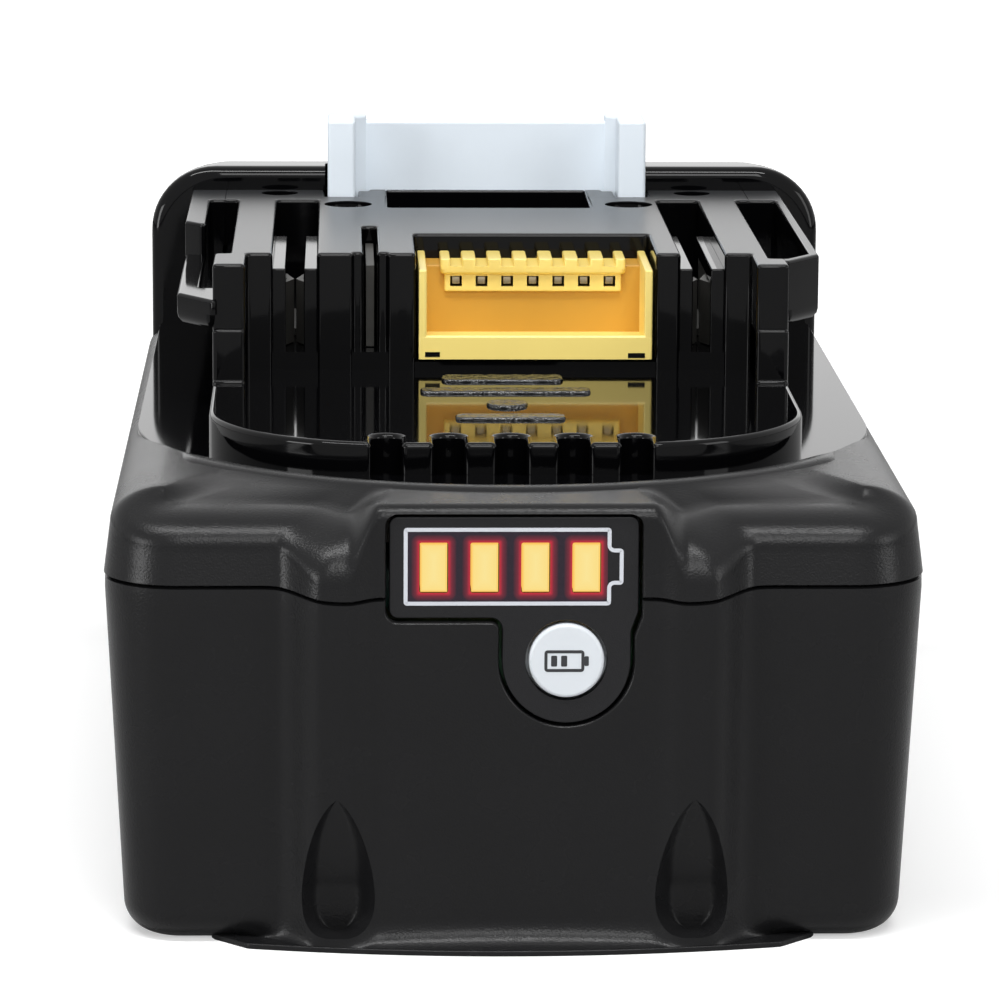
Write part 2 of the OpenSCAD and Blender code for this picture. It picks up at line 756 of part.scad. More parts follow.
// Power slots: a channel in the top, a gap between two shelves, and the chamber for the contact
module terminal_slots() {
  up = block_top + OVER;
  core_y = hump_y - core_d/2 - fit;
  shelf_y = block_y + shelf_l;
  shelf_z = block_top - shelf_depth;
  both_sides() {
    translate([slot_x, 0, 0]) {
      box([-slot_w/2, block_y - OVER, shelf_z], [slot_w/2, shelf_y + EPS, up]);
      box([-slot_w/2, block_y - OVER, slot_floor], [slot_w/2, block_y + groove_d, up]);
      box([-gap_w/2, block_y - OVER, slot_floor], [gap_w/2, shelf_y + EPS, up]);
      along_x(-slot_w/2, slot_w/2) polygon([
        [block_y + front_t, slot_floor], [block_y + slot_l, slot_floor], [block_y + slot_l, up],
        [shelf_y, up], [shelf_y, shelf_z - shelf_t], [block_y + front_t, shelf_z - shelf_t]]);
      box([-OVER - fit, tail_y0, board_z0], [OVER + fit, tail_y1, slot_floor + OVER]);
    }
    translate([dimple_x, hole_y + dimple_d/2, block_top - dimple_depth]) cylinder(d = dimple_d, h = OVER);
    translate([core_x, core_y, block_top - core_d]) cylinder(d = core_d, h = core_d + OVER);
  }
  translate([blade_x, 0, 0]) {
    box([-blade_slot_w/2, block_y - OVER, slot_floor], [blade_slot_w/2, block_y + blade_slot_l, up]);
    box([-blade_slot_w/2, tail_y0, board_z0], [blade_slot_w/2, blade_tail_y1, slot_floor + OVER]);
    box([-groove_w/2, block_y - OVER, slot_floor], [groove_w/2, block_y + groove_d, up]);
  }
}

// Pockets that lighten the rails, open at the top
module rail_pockets() {
  x0 = half_p - wing_t/2;
  x1 = x0 + wide_pocket_w;
  y0 = block_y - right_lead + pocket_wall;
  y1 = block_y + slot_l;
  translate([0, 0, block_top - pocket_depth]) linear_extrude(pocket_depth + OVER) {
    polygon([[x0, y0], [half_p, y0], [x1, y0 + (x1 - half_p)*tan(lead_a)], [x1, y1], [x0, y1]]);
    translate([-x0 - pocket_w, block_y]) square([pocket_w, slot_l]);
  }
}

module socket_opening() {
  tail_y = pin_y + pin_l;
  box([socket_x0 - fit, block_y - OVER, socket_z0 - fit],
    [socket_x1 + fit, socket_y1 + fit, block_top + OVER]);
  box([pin_x[0] - pin_w, tail_y - 2*pin_t, board_z0], [pin_x[pin_n - 1] + pin_w, tail_y + fit, socket_z0]);
}

// Well for the latch with its two spring bays, the hole in front and the thumb recess behind
module latch_well() {
  up = hump_top + OVER;
  x = latch_x + slide;
  box([-x, well_y0, bay_floor], [x, well_y1, up]);
  box([-x, hump_y - OVER, block_top], [x, well_y1, up]);
  box([-hole_x, hole_y, block_top - hole_depth], [hole_x, well_y0 + EPS, up]);
  both_sides() {
    box([post_x - slide, post_y - slide, bay_floor], [x, well_y1, up]);
    box([post_x - flank - slide, web_y0 - flank - slide, bay_floor], [x, well_y1, up]);
    box([bay_x, post_y - slide, bay_floor], [x, well_y1, bay_roof]);
  }
  thumb_x = thumb_w/2 + slide;
  stem_x = stem_w/2 + slide;
  box([-thumb_x, thumb_y - slide, thumb_floor], [thumb_x, rear_y + OVER, up]);
  box([-stem_x, well_y1 - EPS, stem_z - latch_travel - slide], [stem_x, thumb_y, up]);
}

// Space inside the upper case: over the cells, under the platform and behind the socket
module upper_space() {
  difference() {
    inner_space(part_z - OVER, deck_under);
    columns(part_z - 2*OVER, deck_under + OVER);
  }
  translate([0, 0, deck_under - EPS])
    linear_extrude(platform_z - roof_t - deck_under + EPS)
      platform_outline(half_p - roof_t, cavity_y0, cavity_y1, cavity_r);
  box([socket_x0, socket_y1 + fit + roof_t, platform_z - roof_t - EPS],
    [slot_x - slot_w/2 - roof_t, hole_y - roof_t, bay_roof]);
}

module upper_case() {
  color("#1d1e20") difference() {
    upper_form();
    upper_space();
    notches();
    terminal_slots();
    rail_pockets();
    socket_opening();
    latch_well();
    gauge_opening();
    for (s = screw_at) translate([s[0], s[1], part_z - OVER])
      cylinder(r = shank_r, h = screw_top + fit + OVER - part_z);
  }
}

module case_screws() {
  color("#8d9094") for (s = screw_at) translate([s[0], s[1], seat_z]) {
    translate([0, 0, -head_h]) cylinder(d = head_d, h = head_h);
    cylinder(d = screw_d, h = screw_top - seat_z);
  }
}

// Cell: a can with a rolled groove and a raised cap; odd columns point the other way
module cell(column, row) {
  groove_r = 0.5;
  cap_r = 3;
  cap_h = 1;
  neck = 3;
  flip = column%2;
  color("#3f7a4c") translate([0, column_y[column], row_z[row]]) mirror([flip, 0, 0]) difference() {
    union() {
      rod_x(-cell_l/2, cell_l/2 - cap_h, cell_d/2);
      rod_x(-cell_l/2, cell_l/2, cap_r);
    }
    translate([cell_l/2 - neck - cap_h, 0, 0]) rotate([0, 90, 0])
      rotate_extrude() translate([cell_d/2, 0]) circle(groove_r);
  }
}

// Frame round the ends of all ten cells on the right side
module cell_holder() {
  x1 = cell_l/2 - OVER;
  end = cell_d/2 - OVER;
  color("#d8d4c6") difference() {
    union() {
      box([x1 - holder_d, column_y[0] - end, row_z[0]], [x1, column_y[COLUMNS - 1] + end, row_z[1]]);
      box([x1 - holder_d, column_y[0], row_z[0] - end], [x1, column_y[COLUMNS - 1], row_z[1] + end]);
    }
    for (y = column_y, z = row_z) translate([0, y, z]) rod_x(0, cell_l, cell_d/2 + cell_fit);
  }
}

// Nickel strap on the right side, across the given columns, with a tab over the cells to the board
module strap(cols) {
  weld = cell_d/2 - 2*OVER;
  x = cell_l/2;
  y0 = column_y[cols[0]] - weld;
  y1 = column_y[cols[1]] + weld;
  tab_y = column_y[cols[0]] + (cols[0] < COLUMNS - 1 ? weld - tab_w : -weld);
  tab_x = half_p - board_in - weld;
  tab_z = cells_top + 2*cell_fit;
  color("#c9c6bd") {
    difference() {
      box([x, y0, row_z[0] - weld], [x + strap_t, y1, row_z[1] + weld]);
      for (c = [cols[0]:cols[1]], z = row_z) translate([x - OVER, column_y[c] - EPS, z - weld/2])
        cube([2*OVER, 2*cell_gap_y, weld]);
    }
    box([x, tab_y, row_z[1]], [x + strap_t, tab_y + tab_w, tab_z + strap_t]);
    box([tab_x, tab_y, tab_z], [x + strap_t, tab_y + tab_w, tab_z + strap_t]);
    box([tab_x, tab_y, tab_z], [tab_x + strap_t, tab_y + tab_w, board_z0]);
  }
}

module insulator() {
  x = cell_l/2 + strap_t + cell_fit;
  color("#b9a98a") box([x, column_y[0] - cell_d/3, row_z[0] - cell_d/3],
    [x + sheet_t, column_y[COLUMNS - 1] + cell_d/3, row_z[1] + cell_d/3]);
}

// Bead in the valley between two upper cells, with two leads up to the board
module thermistor() {
  bead_r = 1.3;
  lead_r = 0.3;
  reach = cell_d/2 + bead_r + cell_fit;
  bead_z = row_z[1] + sqrt(reach*reach - cell_pitch*cell_pitch/4);
  color("#1b2a4a") translate([socket_x, (column_y[2] + column_y[3])/2, bead_z]) {
    sphere(r = bead_r);
    for (s = [-1, 1]) translate([s*bead_r/2, 0, 0]) cylinder(r = lead_r, h = board_z0 - bead_z);
  }
}

module control_board() {
  color("#1f5b39") translate([0, 0, board_z0]) linear_extrude(board_t)
    platform_outline(half_p - board_in, cavity_y0 + OVER, board_y1, cavity_r - OVER);
}

// Chips under the board and the taller parts that stand in the space behind the socket
module board_components() {
  chip_t = 0.9;
  tall_h = 7;
  tall_y = socket_y1 + fit + roof_t + OVER;
  color("#2a2b2d") {
    for (y = [-1, 0, 1]) translate([socket_x, y*cell_d, board_z0 - chip_t]) translate([-chip_t, 0, 0])
      cube([cell_d/3, cell_d/3, chip_t]);
    translate([socket_x0 + cell_d/3, tall_y + cell_d/4, board_z1]) cylinder(d = cell_d/3, h = tall_h);
    box([socket_x + OVER, tall_y, board_z1], [socket_x + cell_d/2, tall_y + cell_d/3, board_z1 + tall_h/2]);
  }
}

// Forked power contact on the right: base, tail and two leaves that pinch a blade
module power_terminal() {
  lead = 3;
  relief = 8;
  y0 = block_y + mouth_set;
  y1 = tail_y1 + mouth_set;
  z0 = slot_floor + cell_fit;
  z1 = block_top - shelf_depth - shelf_t - fit;
  out = slot_w/2 - fit;
  pinch = leaf_t + cell_fit;
  color("#c8a24a") translate([slot_x, 0, 0]) {
    box([-out, block_y + slot_l/4, z0], [out, y1, z0 + leaf_t]);
    box([-OVER, tail_y0 + fit, board_z1], [OVER, tail_y1 - fit, z0 + leaf_t]);
    both_sides() translate([0, 0, z0]) linear_extrude(z1 - z0) polygon([
      [out, y0], [pinch, y0 + lead], [out, y0 + relief], [out, y1],
      [out - leaf_t, y1], [out - leaf_t, y0 + relief], [pinch - leaf_t, y0 + lead], [out - leaf_t, y0]]);
  }
}

module signal_blade() {
  t = blade_slot_w - 2*fit;
  z0 = slot_floor + cell_fit;
  color("#c9ccd0") translate([blade_x, 0, 0]) {
    box([-t/2, block_y + mouth_set, z0], [t/2, block_y + blade_slot_l - OVER, block_top - shelf_depth]);
    box([-t/2, tail_y0 + fit, board_z1], [t/2, blade_tail_y1 - fit, z0 + OVER]);
  }
}

// Yellow socket: floor with a sill, side walls, and a back with a comb over the pin windows
module signal_socket() {
  step = 2*socket_t;
  channel_y = pin_y + pin_l - pin_t - cell_fit;
  color("#f2c63c") difference() {
    union() {
      box([socket_x0, socket_y0, socket_z0], [socket_x1, socket_y1, socket_z0 + socket_floor]);
      box([socket_x0, socket_y0, socket_z0],
        [socket_x1, socket_y0 + socket_t, socket_z0 + socket_floor + sill_h]);
      both_sides_of(socket_x) box([socket_w/2 - socket_t, socket_y0, socket_z0],
        [socket_w/2, socket_y1, socket_top]);
      box([socket_x0, mouth_y + socket_t, socket_z0], [socket_x1, socket_y1, socket_top - step/2]);
      box([socket_x - comb_w/2, mouth_y, comb_z], [socket_x + comb_w/2, socket_y1, socket_top]);
      both_sides_of(socket_x) box([-EPS, mouth_y + socket_t/2, comb_z - tier_h],
        [(comb_w - socket_t)/2, mouth_y + socket_t + EPS, comb_z + EPS]);
    }
    for (x = pin_x) translate([x - pin_slot/2, 0, 0]) {
      box([0, mouth_y - OVER, socket_top - socket_t], [pin_slot, mouth_y + socket_d/3, socket_top + OVER]);
      box([0, mouth_y, pin_z - cell_fit], [pin_slot, pin_y + pin_l + cell_fit, pin_z + pin_t + cell_fit]);
      box([0, channel_y, socket_z0 - OVER], [pin_slot, pin_y + pin_l + cell_fit, pin_z]);
    }
    both_sides_of(socket_x) box([socket_w/2 - 2*step, socket_y0 - OVER, socket_z0 - OVER],
      [socket_w/2 - step, socket_y0 + fit, socket_z0 + fit]);
  }
}

module both_sides_of(x) {
  translate([x, 0, 0]) both_sides() children();
}

module signal_pins() {
  color("#d9d2b8") for (x = pin_x) translate([x - pin_w/2, 0, 0]) {
    box([0, pin_y, pin_z], [pin_w, pin_y + pin_l, pin_z + pin_t]);
    box([0, pin_y + pin_l - pin_t, board_z1], [pin_w, pin_y + pin_l, pin_z + pin_t]);
  }
}

function lamp_at(k) = lamp_x + (k - (lamp_n - 1)/2)*lamp_pitch;

module gauge_panel() {
  color("#3e3f41") difference() {
    along_y(panel_y0, panel_y1) panel_outline(0);
    for (k = [0:lamp_n - 1]) along_y(panel_y0 - OVER, panel_y1 + OVER)
      translate([lamp_at(k), lamp_z]) square([lamp_w, lamp_h], center = true);
    translate([check_x, 0, check_z]) rod_y(panel_y0 - OVER, panel_y1 + OVER, check_r + slide);
  }
}

// Clear light guides from the lamps to the face of the panel
module gauge_windows() {
  color("#ffd36a") for (k = [0:lamp_n - 1]) along_y(panel_y0 + EPS, gauge_y0 - led_t - fit)
    translate([lamp_at(k), lamp_z]) square([lamp_w - 2*cell_fit, lamp_h - 2*cell_fit], center = true);
}

module gauge_board() {
  color("#1f5b39") box([-gauge_x, gauge_y0, gauge_z0], [gauge_x, gauge_y1, gauge_z1]);
}

module gauge_lamps() {
  color("#f4e3b0") for (k = [0:lamp_n - 1]) translate([lamp_at(k), gauge_y0 - led_t, lamp_z])
    box([-led_w/2, 0, -led_w/2], [led_w/2, led_t, led_w/2]);
}

// Flat lead from the gauge board over the first cells to the control board
module gauge_ribbon() {
  z0 = cells_top + 2*cell_fit;
  y1 = cavity_y0 + ribbon_w;
  rise = board_z0 - z0 - ribbon_t;
  color("#d7d9dc") translate([-ribbon_w/2, 0, 0]) rotate([90, 0, 90]) linear_extrude(ribbon_w) polygon([
    [gauge_y1, z0], [y1, z0], [y1 + rise, z0 + rise], [y1 + 2*rise, z0 + rise],
    [y1 + 2*rise, board_z0], [y1 + rise, board_z0], [y1, z0 + ribbon_t], [gauge_y1, z0 + ribbon_t]]);
}

module check_switch() {
  color("#55585c") translate([check_x, 0, check_z]) difference() {
    box([-switch_w/2, switch_y0, -switch_w/2], [switch_w/2, gauge_y0, switch_w/2]);
    rod_y(switch_y0 - OVER, gauge_y0 + OVER, plunger_r + slide);
  }
}

module switch_plunger() {
  color("#2f3133") translate([check_x, 0, check_z])
    rod_y(plunger_y, gauge_y0 - check_travel - slide, plunger_r);
}

module check_button() {
  color("#e4e7ea") translate([check_x, 0, check_z]) {
    rod_y(check_y0, plunger_y, check_r);
    rod_y(collar_y, plunger_y, collar_r);
  }
}

// White latch: web, two posts with slanted inner flanks, and feet that the springs push up
module release_latch() {
  band = hump_top;
  step = 0.4;
  web_top = latch_top - web_drop;
  color("#e1ebf3") {
    box([-latch_x, web_y0 + step, web_z], [latch_x, web_y1, band]);
    box([-latch_x, web_y0, band - EPS], [latch_x, web_y1, web_top]);
    both_sides() {
      translate([0, 0, foot_z]) linear_extrude(latch_top - foot_z) polygon([
        [post_x, post_y], [latch_x, post_y], [latch_x, web_y1], [post_x - flank, web_y1],
        [post_x - flank, web_y0], [post_x, web_y0 - flank]]);
      box([bay_x + slide, post_y, foot_z], [latch_x, web_y1, foot_z + foot_t]);
    }
  }
}

// Thumb button behind the latch, with finger ridges and the stem that drives the latch
module thumb_button() {
  ridge_n = 3;
  ridge_r = 0.5;
  pitch = thumb_h/(ridge_n + 2);
  color("#26272a") difference() {
    union() {
      box([-thumb_w/2, thumb_y, thumb_z], [thumb_w/2, thumb_y + thumb_t, thumb_z + thumb_h]);
      box([-stem_w/2, web_y1, stem_z], [stem_w/2, thumb_y + EPS, stem_z + stem_h]);
    }
    for (k = [1:ridge_n]) translate([0, thumb_y + thumb_t, thumb_z + k*pitch])
      rod_x(-thumb_w/3, thumb_w/3, ridge_r);
  }
}

// Point on the middle line of a spring's wire, from its foot at u = 0 to its top at u = 1
function coil_at(u) = [spring_r*cos(360*spring_turns*u), spring_r*sin(360*spring_turns*u),
  spring_z0 + spring_wire/2 + u*(spring_z1 - spring_z0 - spring_wire)];

module latch_spring() {
  sides = 6;
  rings = 8*spring_turns;
  points = [for (k = [0:rings]) let (c = coil_at(k/rings), a = 360*spring_turns*k/rings)
    for (i = [0:sides - 1]) let (r = spring_wire/2*cos(360*i/sides), h = spring_wire/2*sin(360*i/sides))
      c + [r*cos(a), r*sin(a), h]];
  last = rings*sides;
  skin = [for (k = [0:rings - 1]) for (i = [0:sides - 1])
    let (a = k*sides + i, b = k*sides + (i + 1)%sides) each [[a, a + sides, b + sides], [a, b + sides, b]]];
  color("#b4b7ba") translate([spring_x, spring_y, 0])
    polyhedron(points, concat([[for (i = [0:sides - 1]) i]], [[for (i = [sides - 1:-1:0]) last + i]], skin));
}

coil_gap = (spring_z1 - spring_z0 - spring_wire)/spring_turns - spring_wire;
echo(spring_gap_mm = coil_gap);
echo(case_mm = [case_w, case_l, latch_top]);

module mirrored(left) {
  mirror([left ? 1 : 0, 0, 0]) children();
}

lower_case();
upper_case();
case_screws();
for (k = [0:ROWS*COLUMNS - 1]) cell(k%COLUMNS, floor(k/COLUMNS));
for (s = [0, 1]) mirrored(s == 0) cell_holder();
for (s = [0, 1], k = [0:2]) mirrored(s == 0) strap(strap_cols[s][k]);
for (s = [0, 1]) mirrored(s == 0) insulator();
thermistor();
control_board();
board_components();
mirrored(true) power_terminal();  // positive_terminal
power_terminal();  // negative_terminal
signal_blade();
signal_socket();
signal_pins();
gauge_panel();
gauge_windows();
gauge_board();
gauge_lamps();
gauge_ribbon();
check_switch();
switch_plunger();
check_button();
release_latch();
thumb_button();
for (s = [0, 1]) mirrored(s == 0) latch_spring();
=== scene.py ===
import math

import bmesh
import bpy
import numpy as np
from mathutils import Matrix, Vector


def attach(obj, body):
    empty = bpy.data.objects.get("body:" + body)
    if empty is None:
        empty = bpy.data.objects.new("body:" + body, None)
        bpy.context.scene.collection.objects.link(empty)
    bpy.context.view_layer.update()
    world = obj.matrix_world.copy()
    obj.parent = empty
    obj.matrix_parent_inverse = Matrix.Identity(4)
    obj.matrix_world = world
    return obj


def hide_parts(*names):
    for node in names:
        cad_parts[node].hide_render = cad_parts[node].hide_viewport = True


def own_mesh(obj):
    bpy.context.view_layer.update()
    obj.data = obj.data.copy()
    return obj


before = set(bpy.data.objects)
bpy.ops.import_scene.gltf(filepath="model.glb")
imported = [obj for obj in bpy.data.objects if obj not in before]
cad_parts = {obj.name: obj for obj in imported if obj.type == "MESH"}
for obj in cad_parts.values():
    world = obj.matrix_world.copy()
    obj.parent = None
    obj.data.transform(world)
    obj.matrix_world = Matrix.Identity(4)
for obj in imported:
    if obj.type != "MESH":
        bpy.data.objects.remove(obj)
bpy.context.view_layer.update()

# Studio: a pale floor that runs on to a white backdrop, and five soft lamps.
# The camera is a long lens half a metre from the gauge end, looking a little down.
MM = 0.001
LENS_MM, SENSOR_MM = 180, 36
CAMERA_AT_MM = (-15.957, -493.268, 127.853)
YAW, PITCH, ROLL = (math.radians(a) for a in (1.876, 11.093, 0.329))


def show(thing):
    """Puts an object into the scene."""
    bpy.context.scene.collection.objects.link(thing)
    return thing


camera_data = bpy.data.cameras.new("camera")
camera_data.lens = LENS_MM
camera_data.sensor_width = SENSOR_MM
camera_data.clip_start, camera_data.clip_end = 0.01, 50
camera = show(bpy.data.objects.new("camera", camera_data))
ahead = Vector((math.sin(YAW) * math.cos(PITCH), math.cos(YAW) * math.cos(PITCH), -math.sin(PITCH)))
level = Vector((math.cos(YAW), -math.sin(YAW), 0))
upward = level.cross(ahead)
right = math.cos(ROLL) * level + math.sin(ROLL) * upward
upright = -math.sin(ROLL) * level + math.cos(ROLL) * upward
turn = Matrix((right, upright, -ahead)).transposed().to_4x4()
camera.matrix_world = Matrix.Translation(Vector(CAMERA_AT_MM) * MM) @ turn
bpy.context.scene.camera = camera
bpy.context.scene.view_settings.view_transform = "Standard"


def new_material(name):
    material = bpy.data.materials.new(name)
    material.use_nodes = True
    nodes = material.node_tree.nodes
    return material, nodes, material.node_tree.links, nodes["Principled BSDF"]


def seen_directly(tree, *others):
    """1 for rays from the lens and the other kinds named, 0 for the rest."""
    path = tree.nodes.new("ShaderNodeLightPath")
    seen = path.outputs["Is Camera Ray"]
    for kind in others:
        either = tree.nodes.new("ShaderNodeMath")
        either.operation = "MAXIMUM"
        tree.links.new(seen, either.inputs[0])
        tree.links.new(path.outputs[kind], either.inputs[1])
        seen = either.outputs[0]
    return seen


FLOOR_HALF, FLOOR_GREY, SKY_LIGHT = 6.0, 0.65, 0.12
# The floor's glow to the lens is weaker near the pack than far off. This is painted shade round the pack, and it
# deepens the shadow there.
GLOW_START, GLOW_END, GLOW_NEAR_PAINTED_SHADE, GLOW_FAR = 0.1, 0.5, 0.45, 0.9
floor_mesh = bpy.data.meshes.new("floor")
floor_corners = [(x * FLOOR_HALF, y * FLOOR_HALF, 0) for x, y in ((-1, -1), (1, -1), (1, 1), (-1, 1))]
floor_mesh.from_pydata(floor_corners, [], [(0, 1, 2, 3)])
floor = show(bpy.data.objects.new("floor", floor_mesh))
floor_paint, nodes, links, shader = new_material("pale_floor")
shader.inputs["Base Color"].default_value = (FLOOR_GREY, FLOOR_GREY, FLOOR_GREY, 1)
shader.inputs["Roughness"].default_value = 0.9
shader.inputs["Specular IOR Level"].default_value = 0.0
shader.inputs["Emission Color"].default_value = (1, 1, 1, 1)
from_middle = nodes.new("ShaderNodeVectorMath")
from_middle.operation = "LENGTH"
links.new(nodes.new("ShaderNodeTexCoord").outputs["Object"], from_middle.inputs[0])
spread = nodes.new("ShaderNodeMapRange")
for label, value in (("From Min", GLOW_START), ("From Max", GLOW_END),
                     ("To Min", GLOW_NEAR_PAINTED_SHADE), ("To Max", GLOW_FAR)):
    spread.inputs[label].default_value = value
links.new(from_middle.outputs["Value"], spread.inputs["Value"])
glow = nodes.new("ShaderNodeMath")
glow.operation = "MULTIPLY"
links.new(spread.outputs[0], glow.inputs[0])
links.new(seen_directly(floor_paint.node_tree), glow.inputs[1])
links.new(glow.outputs[0], shader.inputs["Emission Strength"])
floor_mesh.materials.append(floor_paint)

world = bpy.data.worlds.new("backdrop")
bpy.context.scene.world = world
world.use_nodes = True
sky = world.node_tree.nodes["Background"]
sky.inputs["Color"].default_value = (1, 1, 1, 1)
strength = world.node_tree.nodes.new("ShaderNodeMapRange")
strength.inputs["To Min"].default_value = SKY_LIGHT
strength.inputs["To Max"].default_value = 1.0
in_view = seen_directly(world.node_tree, "Is Glossy Ray", "Is Transmission Ray")
world.node_tree.links.new(in_view, strength.inputs["Value"])
world.node_tree.links.new(strength.outputs[0], sky.inputs["Strength"])

LAMP_AIM = Vector((0, 0, 0.03))
studio_lamps = (("key", (-0.1, -0.35, 1.0), 1.0, 0.11, 10.5),
                ("front", (0.1, -1.0, 0.75), 0.4, 0.4, 4.5),
                ("left", (-0.9, -0.5, 0.17), 0.3, 0.32, 3.5),
                ("right", (0.9, -0.5, 0.3), 0.3, 0.55, 2.5),
                ("back", (0, 1.1, 0.3), 0.9, 0.35, 0.5))
for lamp, place, wide, tall, watts in studio_lamps:
    lamp_data = bpy.data.lights.new(lamp, "AREA")
    lamp_data.shape = "RECTANGLE"
    lamp_data.size, lamp_data.size_y = wide, tall
    lamp_data.energy = watts
    lamp_object = show(bpy.data.objects.new(lamp, lamp_data))
    lamp_object.location = place
    lamp_object.rotation_euler = (LAMP_AIM - Vector(place)).to_track_quat("-Z", "Y").to_euler()


# Cells, holders, straps and sheets: ten wrapped steel cans in two rows, gripped at their ends
# by moulded frames, joined by spot-welded nickel straps, and kept off the case by stiff paper.
def ink(red, green, blue):
    """Screen colour, 0 to 255, as the linear colour that a shader takes."""
    shares = (c / 255 for c in (red, green, blue))
    return tuple(((c + 0.055) / 1.055) ** 2.4 if c > 0.04 else c / 12.92 for c in shares) + (1,)


def surface(name, colour, rough, grain=0.4, relief=0.01, mottle=0.08, patch=6.0, **sockets):
    """Finish with a fine grain in its relief and a soft change of shade and gloss; sizes are in mm."""
    material, nodes, links, shader = new_material(name)
    place = nodes.new("ShaderNodeTexCoord").outputs["Object"]
    fine = nodes.new("ShaderNodeTexNoise")
    fine.inputs["Scale"].default_value = 1 / (grain * MM)
    fine.inputs["Detail"].default_value = 2
    broad = nodes.new("ShaderNodeTexNoise")
    broad.inputs["Scale"].default_value = 1 / (patch * MM)
    broad.inputs["Detail"].default_value = 4
    shade = nodes.new("ShaderNodeMix")
    shade.data_type = "RGBA"
    shade.inputs["A"].default_value = tuple(c * (1 - mottle) for c in colour[:3]) + (1,)
    shade.inputs["B"].default_value = tuple(min(1, c * (1 + mottle)) for c in colour[:3]) + (1,)
    gloss = nodes.new("ShaderNodeMapRange")
    gloss.inputs["To Min"].default_value = rough * 0.88
    gloss.inputs["To Max"].default_value = min(1, rough * 1.12)
    bump = nodes.new("ShaderNodeBump")
    bump.inputs["Distance"].default_value = relief * MM
    bump.inputs["Strength"].default_value = 1
    for source, target in ((place, fine.inputs["Vector"]), (place, broad.inputs["Vector"]),
                           (broad.outputs["Fac"], shade.inputs["Factor"]),
                           (shade.outputs["Result"], shader.inputs["Base Color"]),
                           (broad.outputs["Fac"], gloss.inputs["Value"]),
                           (gloss.outputs[0], shader.inputs["Roughness"]),
                           (fine.outputs["Fac"], bump.inputs["Height"]),
                           (bump.outputs[0], shader.inputs["Normal"])):
        links.new(source, target)
    for socket, value in sockets.items():
        shader.inputs[socket.replace("_", " ")].default_value = value
    return material


def dress(node_names, material):
    """Gives CAD nodes that stay as they are their finish."""
    for node_name in node_names:
        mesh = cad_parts[node_name].data
        mesh.materials.clear()
        mesh.materials.append(material)


sides = ("left", "right")
cell_wrap = surface("cell_wrap", ink(48, 112, 96), 0.35, grain=0.8, relief=0.004, patch=20)
holder_plastic = surface("holder_plastic", ink(214, 208, 190), 0.5, grain=0.3, relief=0.006)
nickel = surface("nickel", ink(196, 192, 182), 0.3, grain=0.2, relief=0.003, Metallic=1.0)
stiff_paper = surface("stiff_paper", ink(186, 170, 136), 0.8, grain=0.15, relief=0.02, mottle=0.15)
bead_enamel = surface("bead_enamel", ink(30, 44, 78), 0.25, grain=0.5, relief=0.004)
dress([f"cell_{k}" for k in range(1, 11)], cell_wrap)
dress([f"cell_holder_{s}" for s in sides], holder_plastic)
dress([f"strap_{s}_{k}" for s in sides for k in (1, 2, 3)], nickel)
dress([f"insulator_{s}" for s in sides], stiff_paper)
dress(["thermistor"], bead_enamel)

# Boards: glass-fibre boards under solder mask, with their chips, lamps, switch and flat lead.
# They sit under the platform and behind the gauge, held by the two halves of the case.
board_mask = surface("board_mask", ink(28, 88, 54), 0.35, grain=0.25, relief=0.006, mottle=0.2, patch=3)
chip_resin = surface("chip_resin", ink(38, 39, 41), 0.6, grain=0.1, relief=0.006)
lamp_resin = surface("lamp_resin", ink(236, 222, 176), 0.3, grain=0.5, relief=0.004)
lead_film = surface("lead_film", ink(210, 213, 216), 0.4, grain=0.4, relief=0.004)
dress(["control_board", "gauge_board"], board_mask)
dress(["board_components", "check_switch", "switch_plunger"], chip_resin)
dress(["gauge_lamps"], lamp_resin)
dress(["gauge_ribbon"], lead_film)

# Case screws: pan-head screws of zinc-plated steel, cold headed with rolled threads.
# They are driven up through the base and hold the two halves of the case together.
zinc_plate = surface("zinc_plate", ink(150, 152, 155), 0.3, grain=0.2, relief=0.004, Metallic=1.0)
dress(["case_screws"], zinc_plate)

# Lower case: black plastic moulded in a spark-eroded tool, so the skin is matt with a fine grain.
# Two soft ridges carry the front screws and end in pointed flutes above a thin foot plate.
FRONT, REAR = -56.9, 56.9
HALF_WIDTH, CORNER = 37.4, 7.0
SEAM, SEAM_DIP, SEAM_DEPTH, SEAM_HALF = 33.6, 0.85, 0.5, 0.2
SEAM_STEP, SKIN_IN = 0.1, 0.02
LEAN, EDGE, WALL = 1.7, 3.0, 1.8
CREST, RIDGE_TOP, RIDGE_FOOT, RIDGE_OUT, DIP_FOOT = 15.4, 17.2, 21.9, 3.2, 23.0
MIDDLE_HALF, MIDDLE_IN = 12.2, 1.0
FLUTE_X, FLUTE_HALF, FLUTE_DEEP, FLUTE_BACK, FLUTE_FLAT = 16.2, 3.9, 3.2, -52.1, 0.42
FLUTE_TIP, FLUTE_LOW, FLUTE_END, FLUTE_RUN = 14.5, 5.0, 1.3, 9.0
FOOT_HALF, FOOT_TOP, FOOT_END, FOOT_BOW, FOOT_BACK, FOOT_EDGE = 24.3, 0.5, -53.8, 2.8, -49.0, 0.12
FLARE_HALF, FLARE_END = 17.0, 26.6
SCREWS = [(16.2, -51.4), (28.0, 51.6)]
BORE, BORE_TOP, BORE_FRONT = 2.7, 13.8, -51.9
case_matt = surface("case_matt", ink(22, 22, 23), 0.27, grain=0.2, relief=0.03, mottle=0.1, patch=9,
                    Specular_IOR_Level=0.17)


def soft(t):
    """0 to 1 with a soft start and end."""
    return (1 - np.cos(np.pi * np.clip(t, 0, 1))) / 2


def mix(a, b, share):
    return a * (1 - share) + b * share


def ridge_share(x, top=RIDGE_TOP, foot=RIDGE_FOOT):
    """1 on a ridge and between the ridges, falling softly to 0 at the ridge's outer foot."""
    return 1 - soft((np.abs(x) - top) / (foot - top))


def middle_share(x):
    """0 outside the ridges' crests, rising softly to 1 on the flat middle."""
    return soft((CREST - np.abs(x)) / (CREST - MIDDLE_HALF))


